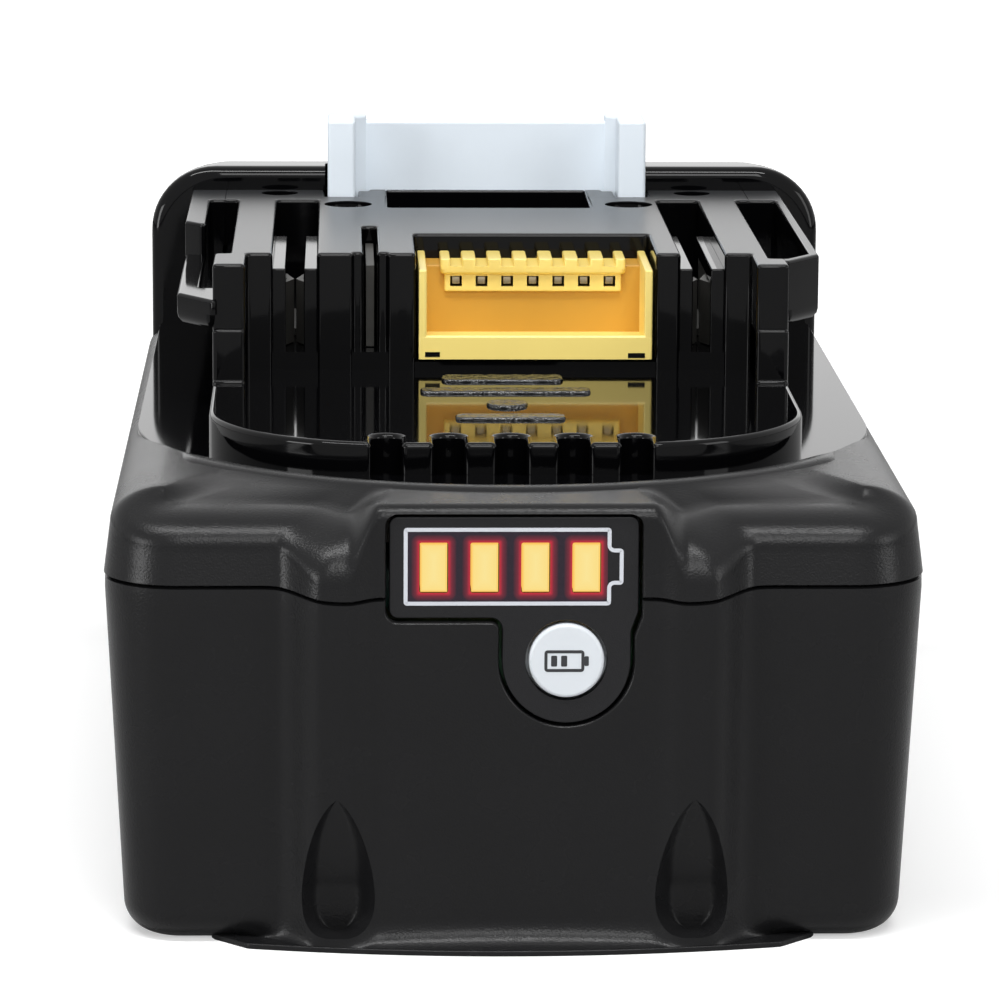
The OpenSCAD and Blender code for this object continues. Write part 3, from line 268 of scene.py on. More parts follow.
def outline_columns():
    """Points round the case with their outward directions: front, right, rear, left. Closer on the front."""
    straight = HALF_WIDTH - CORNER
    spans = np.arange(0.4, 12, 0.8), np.arange(12.2, 23.2, 0.3), np.arange(23.5, straight, 0.6)
    half = np.concatenate(spans)
    near, far = FRONT + RIDGE_OUT, REAR
    arc = np.radians(np.linspace(0, 90, 15))
    bends = [(math.sin(a), 1 - math.cos(a), math.cos(a), 1 - math.sin(a)) for a in arc]
    points = [(x, near, 0, -1) for x in np.concatenate([-half[::-1], [0], half])]
    points += [(straight + CORNER * s, near + CORNER * c1, s, -c) for s, c1, c, s1 in bends]
    points += [(HALF_WIDTH, y, 1, 0) for y in np.linspace(near + CORNER, far - CORNER, 60)[1:-1]]
    points += [(straight + CORNER * c, far - CORNER * s1, c, s) for s, c1, c, s1 in bends]
    points += [(x, far, 0, 1) for x in np.linspace(straight, -straight, 20)[1:-1]]
    points += [(-straight - CORNER * s, far - CORNER * c1, -s, c) for s, c1, c, s1 in bends]
    points += [(-HALF_WIDTH, y, -1, 0) for y in np.linspace(far - CORNER, near + CORNER, 60)[1:-1]]
    points += [(-straight - CORNER * c, near + CORNER * s1, -c, -s) for s, c1, c, s1 in bends]
    points = np.array(points)
    step = np.linalg.norm(np.diff(points[:, :2], axis=0, append=points[:1, :2]), axis=1)
    return points[step > 1e-4]


around = outline_columns()
columns = around[:, 0]
on_front = (np.abs(around[:, 2]) < 1e-9) & (around[:, 3] < 0)
front_relief = np.where(on_front, RIDGE_OUT * ridge_share(columns) - MIDDLE_IN * middle_share(columns), 0)
seam_dip = SEAM_DIP * ridge_share(columns, CREST, DIP_FOOT) * (1 - 0.25 * middle_share(columns))
seam_height = SEAM - np.where(on_front, seam_dip, 0)


def lean_at(z):
    return LEAN * (1 - z / SEAM)


def ring_at(z, inset, relief):
    """One ring round the case; height, inset and front relief may differ from column to column."""
    x = around[:, 0] - around[:, 2] * inset
    y = around[:, 1] - around[:, 3] * inset - relief
    return np.stack([x, y, np.broadcast_to(z, x.shape)], 1)


def loft(rings, caps=True):
    """Skin over rings of equal length, with end caps or joined end to end, as points and faces."""
    count = len(rings[0])
    faces = []
    for r in range(len(rings) - 1 if caps else len(rings)):
        a, b = r * count, ((r + 1) % len(rings)) * count
        faces += [(a + k, a + (k + 1) % count, b + (k + 1) % count, b + k) for k in range(count)]
    if caps:
        faces += [tuple(range(count))[::-1], tuple(range((len(rings) - 1) * count, len(rings) * count))]
    return np.concatenate(rings), faces


def assemble(name, skins, material):
    """Mesh object in metres from closed skins in mm, with its faces turned outwards."""
    points, faces = [], []
    for skin_points, skin_faces in skins:
        faces += [tuple(k + len(points) for k in face) for face in skin_faces]
        points += [tuple(float(c) * MM for c in p) for p in skin_points]
    mesh = bpy.data.meshes.new(name)
    mesh.from_pydata(points, [], faces)
    bm = bmesh.new()
    bm.from_mesh(mesh)
    bmesh.ops.dissolve_degenerate(bm, dist=1e-7, edges=bm.edges)
    bmesh.ops.recalc_face_normals(bm, faces=bm.faces)
    bm.to_mesh(mesh)
    bm.free()
    mesh.materials.append(material)
    return show(bpy.data.objects.new(name, mesh))


def keep(piece):
    """Turns an object with modifiers into a plain mesh."""
    bpy.context.view_layer.update()
    mesh = bpy.data.meshes.new_from_object(piece.evaluated_get(bpy.context.evaluated_depsgraph_get()))
    piece.modifiers.clear()
    piece.data = mesh
    return piece


def cut(piece, cutter):
    """Takes the cutter's space out of the piece, and removes the cutter."""
    boolean = piece.modifiers.new("cut", "BOOLEAN")
    boolean.object = cutter
    boolean.operation = "DIFFERENCE"
    boolean.solver = "EXACT"
    keep(piece)
    bpy.data.objects.remove(cutter)
    return piece


def smooth(piece, angle=40, weighted=True):
    """Smooth shading that stays crisp at edges sharper than the angle and flat on large faces."""
    piece.data.shade_smooth()
    piece.data.set_sharp_from_angle(angle=math.radians(angle))
    if weighted:
        normals = piece.modifiers.new("normals", "WEIGHTED_NORMAL")
        normals.keep_sharp = True
        keep(piece)
    return piece


def settle(piece, body, slot, *replaced):
    """Joins a finished piece to its body, in place of the CAD nodes it stands for; the slot is not used."""
    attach(piece, body)
    if replaced:
        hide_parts(*replaced)


outer = [ring_at(seam_height, SEAM_DEPTH + SEAM_STEP, front_relief),
         ring_at(seam_height - SEAM_HALF, SEAM_STEP, front_relief)]
for share in np.linspace(1, EDGE / SEAM, 26)[1:-1]:
    z = share * seam_height
    outer.append(ring_at(z, lean_at(z) + SKIN_IN, front_relief))
plate_edge = FOOT_END - FOOT_BOW * (1 - np.minimum(np.abs(columns) / FOOT_HALF, 1) ** 2)
flare = np.where(on_front, 1 - soft((np.abs(columns) - FLARE_HALF) / (FLARE_END - FLARE_HALF)), 0)
for a in np.radians(np.linspace(0, 90, 18)):
    z = EDGE * (1 - math.sin(a))
    out = 1 - math.sqrt(1 - min(1, (EDGE - z) / (EDGE - FOOT_TOP)) ** 2)
    face = lean_at(z) + SKIN_IN
    to_plate = plate_edge + FOOT_EDGE - (FRONT + RIDGE_OUT) + front_relief
    inset = mix(face + EDGE * (1 - math.cos(a)), mix(face, to_plate, out), flare)
    outer.append(ring_at(z, inset, front_relief))
bay = np.where(on_front & (np.abs(columns) < 14), RIDGE_OUT - MIDDLE_IN, 0)
inner = [ring_at(WALL, WALL + LEAN, bay), ring_at(seam_height, WALL + LEAN, bay)]
lower_shell = assemble("lower_case_shell", [loft(inner + outer)], case_matt)


def rounded(outline, radius, steps=3):
    """Closed outline with arcs at its corners; gentle bends stay.

    Gives the points, their outward directions and how far each may be moved in.
    """
    points = np.array(outline, float)
    following = np.roll(points, -1, 0)
    area = np.sum(points[:, 0] * following[:, 1] - following[:, 0] * points[:, 1])
    points = points if area > 0 else points[::-1]
    places, outward, limits = [], [], []
    for before, here, after in zip(np.roll(points, 1, 0), points, np.roll(points, -1, 0)):
        arrive, leave = here - before, after - here
        room = min(np.linalg.norm(arrive), np.linalg.norm(leave)) * 0.48
        arrive, leave = arrive / np.linalg.norm(arrive), leave / np.linalg.norm(leave)
        bend = math.atan2(arrive[0] * leave[1] - arrive[1] * leave[0], float(arrive @ leave))
        if abs(bend) < math.radians(20):
            mean = (arrive + leave) / np.linalg.norm(arrive + leave)
            places.append(here)
            outward.append((mean[1], -mean[0]))
            limits.append(math.inf)
            continue
        r = min(radius, room / math.tan(abs(bend) / 2))
        normal = np.array((arrive[1], -arrive[0]))
        side = 1 if bend > 0 else -1
        limit = 0.92 * r if side > 0 else math.inf
        centre = here - arrive * r * math.tan(abs(bend) / 2) - side * normal * r
        for t in np.linspace(0, bend, steps + 1):
            turned = np.array((normal[0] * math.cos(t) - normal[1] * math.sin(t),
                               normal[0] * math.sin(t) + normal[1] * math.cos(t)))
            places.append(centre + side * turned * r)
            outward.append(turned)
            limits.append(limit)
    return np.array(places), np.array(outward), np.array(limits)


def slab(outline, low, high, edge=0.3, corner=0.35, foot=0.0, steps=3):
    """Upright prism with round corners and a round top edge, and a round foot if asked for."""
    places, outward, limits = rounded(outline, corner, steps)
    quarter = np.linspace(0, math.pi / 2, steps + 1)
    at_foot, at_top = (quarter if size else quarter[-1:] for size in (foot, edge))
    levels = [(foot * (1 - math.sin(a)), low + foot * (1 - math.cos(a))) for a in at_foot]
    levels += [(edge * (1 - math.cos(a)), high - edge + edge * math.sin(a)) for a in at_top]
    rings = []
    for inset, z in levels:
        moved = places - outward * np.minimum(inset, limits)[:, None]
        rings.append(np.column_stack([moved, np.full(len(places), z)]))
    return loft(rings)


def rectangle(x0, y0, x1, y1):
    return [(x0, y0), (x1, y0), (x1, y1), (x0, y1)]


def block(x0, y0, x1, y1, low, high, **edges):
    return slab(rectangle(x0, y0, x1, y1), low, high, **edges)


def circle(x, y, r, count=48):
    angles = np.linspace(0, 2 * math.pi, count, endpoint=False)
    return [(x + r * math.cos(a), y + r * math.sin(a)) for a in angles]


def mirrored(outline):
    return [(-x, y) for x, y in outline][::-1]


foot_outline = [(FOOT_HALF * t, FOOT_END - FOOT_BOW * (1 - t * t)) for t in np.linspace(-1, 1, 41)]
foot_slant = FOOT_BACK - FOOT_END
foot_outline += [(FOOT_HALF + foot_slant, FOOT_BACK), (-FOOT_HALF - foot_slant, FOOT_BACK)]
foot_plate = assemble("lower_case_foot", [slab(foot_outline, 0, FOOT_TOP, edge=FOOT_EDGE, corner=1.0)], case_matt)


def panel_outline(grow, steps=10):
    """Gauge opening seen from the front, in x and z: a bar with a lobe round the check button."""
    low_x, high_x, low_z, high_z = -11.5 - grow, 10.9 + grow, 31.1 - grow, 40.4 + grow
    corner, lobe, lobe_x, lobe_z, fillet = 0.8 + grow, 5.8 + grow, 4.45, 27.25, max(0.1, 1.0 - grow)
    points = []

    def turn_about(cx, cz, r, start, end, count=steps):
        angles = np.radians(np.linspace(start, end, count))
        points.extend((cx + r * math.cos(a), cz + r * math.sin(a)) for a in angles)

    turn_about(high_x - corner, high_z - corner, corner, 0, 90)
    turn_about(low_x + corner, high_z - corner, corner, 90, 180)
    turn_about(low_x + corner, low_z + corner, corner, 180, 270)
    turn_about(lobe_x - lobe - fillet, low_z - fillet, fillet, 90, 0)
    turn_about(lobe_x, lobe_z, lobe, 180, 360, 4 * steps)
    points.append((lobe_x + lobe, low_z - 1.2))
    points.append((high_x, low_z + 0.6))
    return np.array(points)


# Growth of the gauge opening by distance behind the skin
OPENING = ((0.62, -1.2), (0.62, -0.06), (0.5, 0.0), (0.4, 0.07), (0.33, 0.17), (0.3, 0.32), (0.3, 4.6))


def gauge_cutter():
    """Cutter for the gauge opening, flared at the skin so that the opening gets a rounded edge."""
    rings = []
    for grow, behind in OPENING:
        outline = panel_outline(grow)
        y = FRONT + MIDDLE_IN + behind + np.maximum(lean_at(outline[:, 1]), 0)
        rings.append(np.stack([outline[:, 0], y, outline[:, 1]], 1))
    return assemble("gauge_cutter", [loft(rings)], case_matt)


def bore_cutter():
    rounds = [circle(s * x, y, BORE) for s in (-1, 1) for x, y in SCREWS]
    shapes = [[(x, max(y, BORE_FRONT)) for x, y in round_bore] for round_bore in rounds]
    return assemble("bore_cutter", [slab(shape, -1, BORE_TOP, edge=0) for shape in shapes], case_matt)


def flute_cutter():
    """Cutters for the two flutes: pointed at the tip, round at the foot, with steep sides and a flat back."""
    flutes = []
    across = np.linspace(-1, 1, 41)
    profile = 1 - np.clip((np.abs(across) - FLUTE_FLAT) / (1 - FLUTE_FLAT), 0, 1) ** 1.6
    heights = [np.linspace(FLUTE_TIP, FLUTE_LOW, 24), np.linspace(FLUTE_LOW, FLUTE_END, 16)[1:]]
    for s in (-1, 1):
        rings = []
        for z in np.concatenate(heights):
            tip = math.sin(math.pi / 2 * min(1, (FLUTE_TIP - z) / (FLUTE_TIP - FLUTE_LOW)) ** 0.8)
            low = max(0, FLUTE_LOW - z) / (FLUTE_LOW - FLUTE_END + 0.05)
            half = max(0.02, FLUTE_HALF * tip * (1 - low ** 2.4) ** (1 / 2.4))
            start = FRONT + float(lean_at(z))
            deep = FLUTE_DEEP * min(1, (FLUTE_TIP - z) / FLUTE_RUN) ** 0.9
            y = np.minimum(start + deep * profile, FLUTE_BACK)
            ring = [(s * FLUTE_X + half * t, depth, z) for t, depth in zip(across, y)]
            rings.append(np.array(ring + [(s * FLUTE_X + half * t, start - 3, z) for t in (1, -1)]))
        flutes.append(loft(rings))
    return assemble("flute_cutter", flutes, case_matt)


cut(lower_shell, gauge_cutter())
cut(lower_shell, bore_cutter())
cut(lower_shell, flute_cutter())
cut(foot_plate, bore_cutter())
smooth(lower_shell, 35, weighted=False)
smooth(foot_plate)
settle(lower_shell, "case", "case_matt", "lower_case")
settle(foot_plate, "case", "case_matt")

# Upper case, matt shoulder: the rim of the upper moulding, with the same grain as the lower case.
# A soft bevel runs all round it, and the front ridges end in two rounded knuckles beside the gauge.
BAND_TOP, SHOULDER, BEVEL_IN, BAND_LEAN, FRONT_DROP = 38.4, 41.6, 5.0, 0.6, 1.4
DECK_RADIUS, DECK_Y, DECK, DECK_LOW = 35.6, -11.9, 41.2, 39.7
END_Y, END_IN = 48.7, 1.02
KNUCKLE_START, KNUCKLE_RUN, KNUCKLE_RISE, KNUCKLE_NARROWING = 34.2, 7.0, 5.6, 3.0
BROW_START, BROW_RUN, BROW_RISE = 40.1, 1.4, 1.4
BEAD_OUT, BEAD_UP, STRAIGHT_IN, TURN_RUN = 2.2, 0.35, 16.0, 18.0
toward_front = soft(-around[:, 3])


def shoulder_ring(a):
    """Ring on the bevel at angle a from upright, turned softly into knuckle and brow on the front."""
    narrowing = KNUCKLE_NARROWING * soft(a * 2 / math.pi * 1.3)
    ridge = np.where(on_front, ridge_share(columns, RIDGE_TOP - 0.8 * narrowing, RIDGE_FOOT - narrowing), 0)
    middle = np.where(on_front, middle_share(columns), 0)
    across, up = 1 - math.cos(a), math.sin(a)
    plain_in = BAND_LEAN + BEVEL_IN * across
    plain_z = BAND_TOP - FRONT_DROP * toward_front + (SHOULDER - BAND_TOP) * up
    raised_in = mix(KNUCKLE_RUN * across, MIDDLE_IN + BROW_RUN * across, middle) + SEAM_STEP - RIDGE_OUT
    raised_z = mix(KNUCKLE_START + KNUCKLE_RISE * up, BROW_START + BROW_RISE * up, middle)
    return ring_at(mix(plain_z, raised_z, ridge), mix(plain_in, raised_in, ridge), 0)


def over_deck(ring):
    """Which points of a ring lie over the polished deck or the raised end."""
    polar = np.hypot(ring[:, 0], ring[:, 1] - DECK_Y) < DECK_RADIUS
    deck = np.where(ring[:, 1] < DECK_Y, polar, np.abs(ring[:, 0]) < DECK_RADIUS)
    gone_in = np.hypot(ring[:, 0] - around[:, 0], ring[:, 1] - around[:, 1]) > END_IN
    return np.where(around[:, 1] > END_Y, gone_in, deck)


# Beside the deck a column goes straight in to its edge, and further forward it turns to the deck's centre.
ahead_of_deck = DECK_Y - around[:, 1]
to_centre = np.arctan2(ahead_of_deck, np.abs(columns))
straight_in = np.arcsin(np.clip(ahead_of_deck / DECK_RADIUS, 0, 1))
edge_angle = to_centre + (straight_in - to_centre) * (1 - soft((ahead_of_deck - STRAIGHT_IN) / TURN_RUN))
toward = np.stack([np.sign(columns) * np.cos(edge_angle), -np.sin(edge_angle)], 1)
edge_front = toward * DECK_RADIUS + (0, DECK_Y)
edge_side = np.stack([np.sign(columns) * DECK_RADIUS, around[:, 1]], 1)
edge_rear = around[:, :2] - around[:, 2:] * END_IN
deck_edge = np.where((around[:, 1] < DECK_Y)[:, None], edge_front,
                     np.where((around[:, 1] > END_Y)[:, None], edge_rear, edge_side))

band = shoulder_ring(0)
skirt = [ring_at(seam_height, SEAM_DEPTH, front_relief), ring_at(seam_height + SEAM_HALF, 0, front_relief)]
skirt += [mix(skirt[1], band, t) for t in np.linspace(0.15, 0.85, 5)]
shoulder, arrived = [], np.zeros(len(columns), bool)
for ring in [shoulder_ring(a) for a in np.radians(np.linspace(0, 90, 34))]:
    landing = over_deck(ring) & ~arrived
    held = ring.copy()
    if shoulder:
        held[arrived] = shoulder[-1][arrived]
    held[landing, :2] = deck_edge[landing]
    shoulder.append(held)
    arrived |= landing
shoulder_left = np.linalg.norm(shoulder[-1][:, :2] - (0, DECK_Y), axis=1) - DECK_RADIUS
bevel_z = shoulder[-1][:, 2]
rim_z = np.where(arrived, bevel_z, bevel_z + (SHOULDER - bevel_z) * soft(shoulder_left / 4))
bead = np.where(arrived, 0, soft((shoulder_left - 0.5) / 3))
bead_section = ((1, 0), (0.94, 0.3), (0.82, 0.72), (0.66, 0.94), (0.46, 1), (0.26, 0.94), (0.1, 0.7), (0.02, 0.3))
rim = []
for out, up in bead_section:
    rim_xy = deck_edge + toward * (out * BEAD_OUT * bead)[:, None]
    rim.append(np.column_stack([rim_xy, rim_z + up * BEAD_UP * bead]))
shoulder += [mix(shoulder[-1], rim[0], t) for t in (0.25, 0.5, 0.75)]
rim.append(np.column_stack([deck_edge, np.minimum(rim_z, DECK) - 1.0]))
lining = [ring_at(SEAM + 3.0, WALL + LEAN, bay), ring_at(seam_height, WALL + LEAN, bay)]
shoulder_shell = assemble("upper_case_shoulder", [loft(skirt + shoulder + rim + lining, caps=False)], case_matt)
cut(shoulder_shell, gauge_cutter())
smooth(shoulder_shell, 35, weighted=False)
settle(shoulder_shell, "case", "case_matt")

# Upper case, polished part: deck, notched platform, terminal block, rails and raised end.
# It is one moulding with the shoulder, from a polished tool; its edges have small radii that catch the light.
HALF_P, LIP, LIP_CORNER, PLATFORM = 28.4, -39.65, 18.0, 44.2
NOTCHES, NOTCH_PITCH, NOTCH_HALF, NOTCH_DEPTH, NOTCH_FLOOR = 5, 5.8, 1.4, 5.0, 40.3
BLOCK_Y, BLOCK_TOP, BLOCK_END = 1.0, 56.0, 49.4
WING_X, WING_Y, WING_STEP = 25.2, -7.0, 0.4
SLOT_X, SLOT_HALF, SLOT_END, SLOT_FLOOR, GAP_HALF = 20.4, 2.2, 41.0, 46.0, 0.9
SHELF_TOP, SHELF_UNDER, SHELF_END, SHELF_WALL, GROOVE = 54.3, 52.8, 25.0, 2.2, 0.8
BLADE_X, BLADE_HALF, BLADE_END, GROOVE_HALF = -12.85, 0.7, 20.6, 1.75
SOCKET_X0, SOCKET_X1, SOCKET_END, SOCKET_FLOOR = -8.3, 15.7, 15.0, 45.0
RAIL_X, RAIL_Z, RAIL_ROUND, LEAD_SLOPE = 32.0, 49.6, 0.9, math.tan(math.radians(54))
POCKET_X, POCKET_FLOOR, POCKET_END, LOW_TOP = 26.8, 51.0, 41.0, 52.5
RIGHT_POCKET, LEFT_POCKET, POCKET_WALL = 31.0, 29.8, 1.9
RIGHT_Y, LEFT_Y, HIGH_Y = -4.2, -7.4, 19.6
HOLE_X, HOLE_Y, HOLE_FLOOR, HOLE_WALL = 10.7, 34.8, 50.0, 0.8
WELL_X, WELL_BACK, WELL_FLOOR = 17.5, 52.0, 40.7
POST_X, POST_Y, FLANK_X, FLANK_Y, BAY_X, BAY_ROOF = 13.9, 43.5, 12.7, 48.2, 11.3, 54.4
BASE, FLUSH, BURIED = 43.9, 0.015, 0.4


def on_top(material, low, high, **values):
    """Gives a level top other values than the sides, by height in mm."""
    nodes, links = material.node_tree.nodes, material.node_tree.links
    height = nodes.new("ShaderNodeSeparateXYZ")
    links.new(nodes.new("ShaderNodeTexCoord").outputs["Object"], height.inputs[0])
    share = nodes.new("ShaderNodeMapRange")
    share.inputs["From Min"].default_value, share.inputs["From Max"].default_value = low * MM, high * MM
    links.new(height.outputs["Z"], share.inputs["Value"])
    for label, value in values.items():
        socket = nodes["Principled BSDF"].inputs[label.replace("_", " ")]
        blend = nodes.new("ShaderNodeMix")
        blend.data_type = "RGBA" if socket.type == "RGBA" else "FLOAT"
        blend.inputs["A"].default_value = socket.default_value
        blend.inputs["B"].default_value = value
        if socket.is_linked:
            links.new(socket.links[0].from_socket, blend.inputs["A"])
        links.new(share.outputs[0], blend.inputs["Factor"])
        links.new(blend.outputs["Result"], socket)


case_gloss, block_gloss_painted_top = (surface(name, ink(5, 5, 6), 0.06, grain=16, relief=0.004, mottle=0.05, patch=25,
                                   Specular_IOR_Level=0.15) for name in ("case_gloss", "block_gloss_painted_top"))
# The block's level top takes a lighter base colour as painted sheen, standing in for the bright backdrop reflected
# in it. Its other roughness and reflection level are the top's own finish.
on_top(block_gloss_painted_top, BLOCK_TOP - 0.15, BLOCK_TOP - 0.03,
       Base_Color=ink(40, 41, 43), Roughness=0.3, Specular_IOR_Level=0.6)


def lip_y(x):
    over = max(0, abs(x) - (HALF_P - LIP_CORNER))
    return LIP + LIP_CORNER - math.sqrt(LIP_CORNER ** 2 - over ** 2)


lip = []
for k in range(NOTCHES):
    x = (k - (NOTCHES - 1) / 2) * NOTCH_PITCH
    notch_back = LIP + NOTCH_DEPTH - NOTCH_HALF
    lip += [(x - NOTCH_HALF, lip_y(x - NOTCH_HALF))]
    lip += [(x - NOTCH_HALF * math.cos(a), notch_back + NOTCH_HALF * math.sin(a))
            for a in np.linspace(0, math.pi, 13)]
    lip += [(x + NOTCH_HALF, lip_y(x + NOTCH_HALF))]
lip_angles = np.radians(np.linspace(11, 90, 40))
lip_turn = [(x, lip_y(x)) for x in HALF_P - LIP_CORNER + LIP_CORNER * np.sin(lip_angles)]
platform_rear = [(HALF_P, END_Y), (WELL_X, END_Y), (WELL_X, POST_Y - FLUSH)]
platform_outline = lip + lip_turn + platform_rear + mirrored(platform_rear) + mirrored(lip_turn)
platform = slab(platform_outline, NOTCH_FLOOR, PLATFORM, edge=0.5, corner=0.55)
deck_turn = [(DECK_RADIUS * math.sin(a), DECK_Y - DECK_RADIUS * math.cos(a))
             for a in np.radians(np.linspace(1, 90, 60))]
deck_inner = [(x, lip_y(x)) for x in np.linspace(0, HALF_P - LIP_CORNER, 5)[1:]] + lip_turn[1:]
deck_inner = [(x, y + BURIED / 4) for x, y in deck_inner]
deck_ends = [(DECK_RADIUS, END_Y + BURIED), (deck_inner[-1][0] - BURIED, END_Y + BURIED)]
deck_half = deck_turn + deck_ends + [(x - BURIED / 4, y) for x, y in deck_inner[::-1]]
deck = slab(deck_half + mirrored(deck_half), DECK_LOW, DECK, edge=0.15, corner=0.1)
notch_floor = block(-HALF_P / 2, LIP - 0.2, HALF_P / 2, LIP + NOTCH_DEPTH + 1, NOTCH_FLOOR - BURIED,
                    NOTCH_FLOOR + FLUSH, edge=0)


def slot_edge(x, half, end, start=BLOCK_Y):
    return [(x - half, start), (x - half, end), (x + half, end), (x + half, start)]


pocket_y = RIGHT_Y + POCKET_WALL
comb = [(-HALF_P, WING_Y + WING_STEP), (-WING_X, WING_Y + WING_STEP), (-WING_X, BLOCK_Y)]
comb += slot_edge(-SLOT_X, SLOT_HALF, SLOT_END)
comb += [(BLADE_X - GROOVE_HALF, BLOCK_Y), (BLADE_X - GROOVE_HALF, BLOCK_Y + GROOVE)]
comb += slot_edge(BLADE_X, BLADE_HALF, BLADE_END, BLOCK_Y + GROOVE)
comb += [(BLADE_X + GROOVE_HALF, BLOCK_Y + GROOVE), (BLADE_X + GROOVE_HALF, BLOCK_Y)]
comb += [(SOCKET_X0, BLOCK_Y), (SOCKET_X0, SOCKET_END), (SOCKET_X1, SOCKET_END), (SOCKET_X1, BLOCK_Y)]
comb += slot_edge(SLOT_X, SLOT_HALF, SLOT_END)
comb += [(WING_X, BLOCK_Y), (WING_X, WING_Y + WING_STEP), (HALF_P, WING_Y + WING_STEP), (HALF_P, pocket_y)]
comb += [(POCKET_X, pocket_y), (POCKET_X, POCKET_END), (HALF_P, POCKET_END), (HALF_P, BLOCK_END)]
rear_gap = [(WELL_X, BLOCK_END), (WELL_X, POST_Y), (BAY_X, POST_Y), (BAY_X, BLOCK_END), (HOLE_X, BLOCK_END),
            (HOLE_X, HOLE_Y)]
comb += rear_gap + mirrored(rear_gap)
comb += [(-HALF_P, BLOCK_END), (-HALF_P, POCKET_END), (-POCKET_X, POCKET_END), (-POCKET_X, BLOCK_Y),
         (-HALF_P, BLOCK_Y)]
DIMPLE_X, DIMPLE_Y, DIMPLE_R, DIMPLE_DEEP = 15.0, 37.35, 2.55, 0.5
CORE_X, CORE_Y, CORE_R, CORE_DEEP = 22.4, 46.4, 2.0, 4.0
terminal_block = assemble("terminal_block", [slab(comb, BASE, BLOCK_TOP, corner=0.45, edge=0.4)], block_gloss_painted_top)
dents = []
for s in (-1, 1):
    dents.append(slab(circle(s * DIMPLE_X, DIMPLE_Y, DIMPLE_R), BLOCK_TOP - DIMPLE_DEEP, BLOCK_TOP + 1, edge=0))
    dents.append(slab(circle(s * CORE_X, CORE_Y, CORE_R), BLOCK_TOP - CORE_DEEP, BLOCK_TOP + 1, edge=0))
cut(terminal_block, assemble("dent_cutter", dents, case_gloss))
smooth(terminal_block)
settle(terminal_block, "case", "case_gloss")

skins = [deck, notch_floor, platform]
skins.append(block(-WELL_X - BURIED, POST_Y - BURIED, WELL_X + BURIED, WELL_BACK + BURIED, DECK_LOW,
                   WELL_FLOOR, edge=0))
roof = [(BAY_X - BURIED, POST_Y - BURIED), (POST_X, POST_Y - BURIED), (POST_X, FLANK_Y), (FLANK_X, FLANK_Y),
        (FLANK_X, BLOCK_END), (BAY_X - BURIED, BLOCK_END)]
skins += [slab(outline, BAY_ROOF, BLOCK_TOP - FLUSH, edge=0.2, corner=0.3) for outline in (roof, mirrored(roof))]
skins.append(block(-HOLE_X - BURIED / 2, BLOCK_END - HOLE_WALL, HOLE_X + BURIED / 2, BLOCK_END, BASE,
                   BLOCK_TOP - FLUSH, edge=0.25))
floors = [(-HOLE_X, HOLE_Y, HOLE_X, BLOCK_END - BURIED, HOLE_FLOOR),
          (SOCKET_X0, BLOCK_Y, SOCKET_X1, SOCKET_END, SOCKET_FLOOR),
          (BLADE_X - GROOVE_HALF, BLOCK_Y, BLADE_X + GROOVE_HALF, BLADE_END, SLOT_FLOOR)]
floors += [(s * SLOT_X - SLOT_HALF, BLOCK_Y, s * SLOT_X + SLOT_HALF, SLOT_END, SLOT_FLOOR) for s in (-1, 1)]
for x0, y0, x1, y1, top in floors:
    skins.append(block(x0 - 0.1, y0 + FLUSH, x1 + 0.1, y1 + 0.1, BASE, top, edge=0, corner=0.02))
for s in (-1, 1):
    for near, far in ((-SLOT_HALF - 0.1, -GAP_HALF), (GAP_HALF, SLOT_HALF + 0.1)):
        x0, x1 = s * SLOT_X + near, s * SLOT_X + far
        y0 = BLOCK_Y + GROOVE
        skins.append(block(x0, y0, x1, SHELF_END, SHELF_UNDER, SHELF_TOP, edge=0.2, corner=0.15))
        skins.append(block(x0, y0 + FLUSH, x1, BLOCK_Y + SHELF_WALL, SLOT_FLOOR - BURIED, SHELF_UNDER + BURIED,
                           edge=0, corner=0.15))
    wing = [(s * x, y) for x, y in rectangle(WING_X, WING_Y, HALF_P + FLUSH, BLOCK_Y + BURIED)]
    skins.append(slab(wing, BASE, RAIL_Z, edge=0.4, corner=0.45))
    wing_foot = [(s * x, y) for x, y in rectangle(WING_X, WING_Y - WING_STEP, HALF_P, BLOCK_Y + BURIED)]
    skins.append(slab(wing_foot, BASE, PLATFORM + WING_STEP, edge=0.38, corner=0.4))
    start = BLOCK_Y - BURIED if s < 0 else pocket_y - BURIED
    flank = [(s * x, y) for x, y in rectangle(POCKET_X - BURIED, start, HALF_P + FLUSH, END_Y + BURIED)]
    skins.append(slab(flank, BASE, POCKET_FLOOR, edge=0, corner=0.02))


def lead(y, x0, x1):
    """Slanted end of a rail that starts at y beside the platform, between two distances from the middle."""
    return [(x, y + (x - HALF_P) * LEAD_SLOPE) for x in (x0, x1)]


IN_BLOCK = HALF_P - BURIED
rail_end = [(RAIL_X, END_Y + BURIED), (IN_BLOCK, END_Y + BURIED)]
base_right = lead(RIGHT_Y, IN_BLOCK, RAIL_X) + rail_end
base_left = mirrored(lead(LEFT_Y, IN_BLOCK, RAIL_X) + rail_end)
wall_right = base_right + [(IN_BLOCK, POCKET_END), (RIGHT_POCKET, POCKET_END)]
wall_right += lead(pocket_y, HALF_P, RIGHT_POCKET)[::-1] + [(IN_BLOCK, pocket_y)]
low_left = mirrored(lead(LEFT_Y, IN_BLOCK, RAIL_X) + [(RAIL_X, HIGH_Y + 6), (LEFT_POCKET, HIGH_Y + 3),
                                                      (LEFT_POCKET, BLOCK_Y), (IN_BLOCK, BLOCK_Y)])
high_left = lead(HIGH_Y, LEFT_POCKET, RAIL_X) + rail_end
high_left = mirrored(high_left + [(IN_BLOCK, POCKET_END), (LEFT_POCKET, POCKET_END)])
skins += [slab(outline, RAIL_Z, POCKET_FLOOR, edge=0, corner=0.6, foot=RAIL_ROUND)
          for outline in (base_right, base_left)]
for outline, top in ((wall_right, BLOCK_TOP - FLUSH), (low_left, LOW_TOP), (high_left, BLOCK_TOP - FLUSH)):
    skins.append(slab(outline, POCKET_FLOOR, top, edge=0.35, corner=0.4))
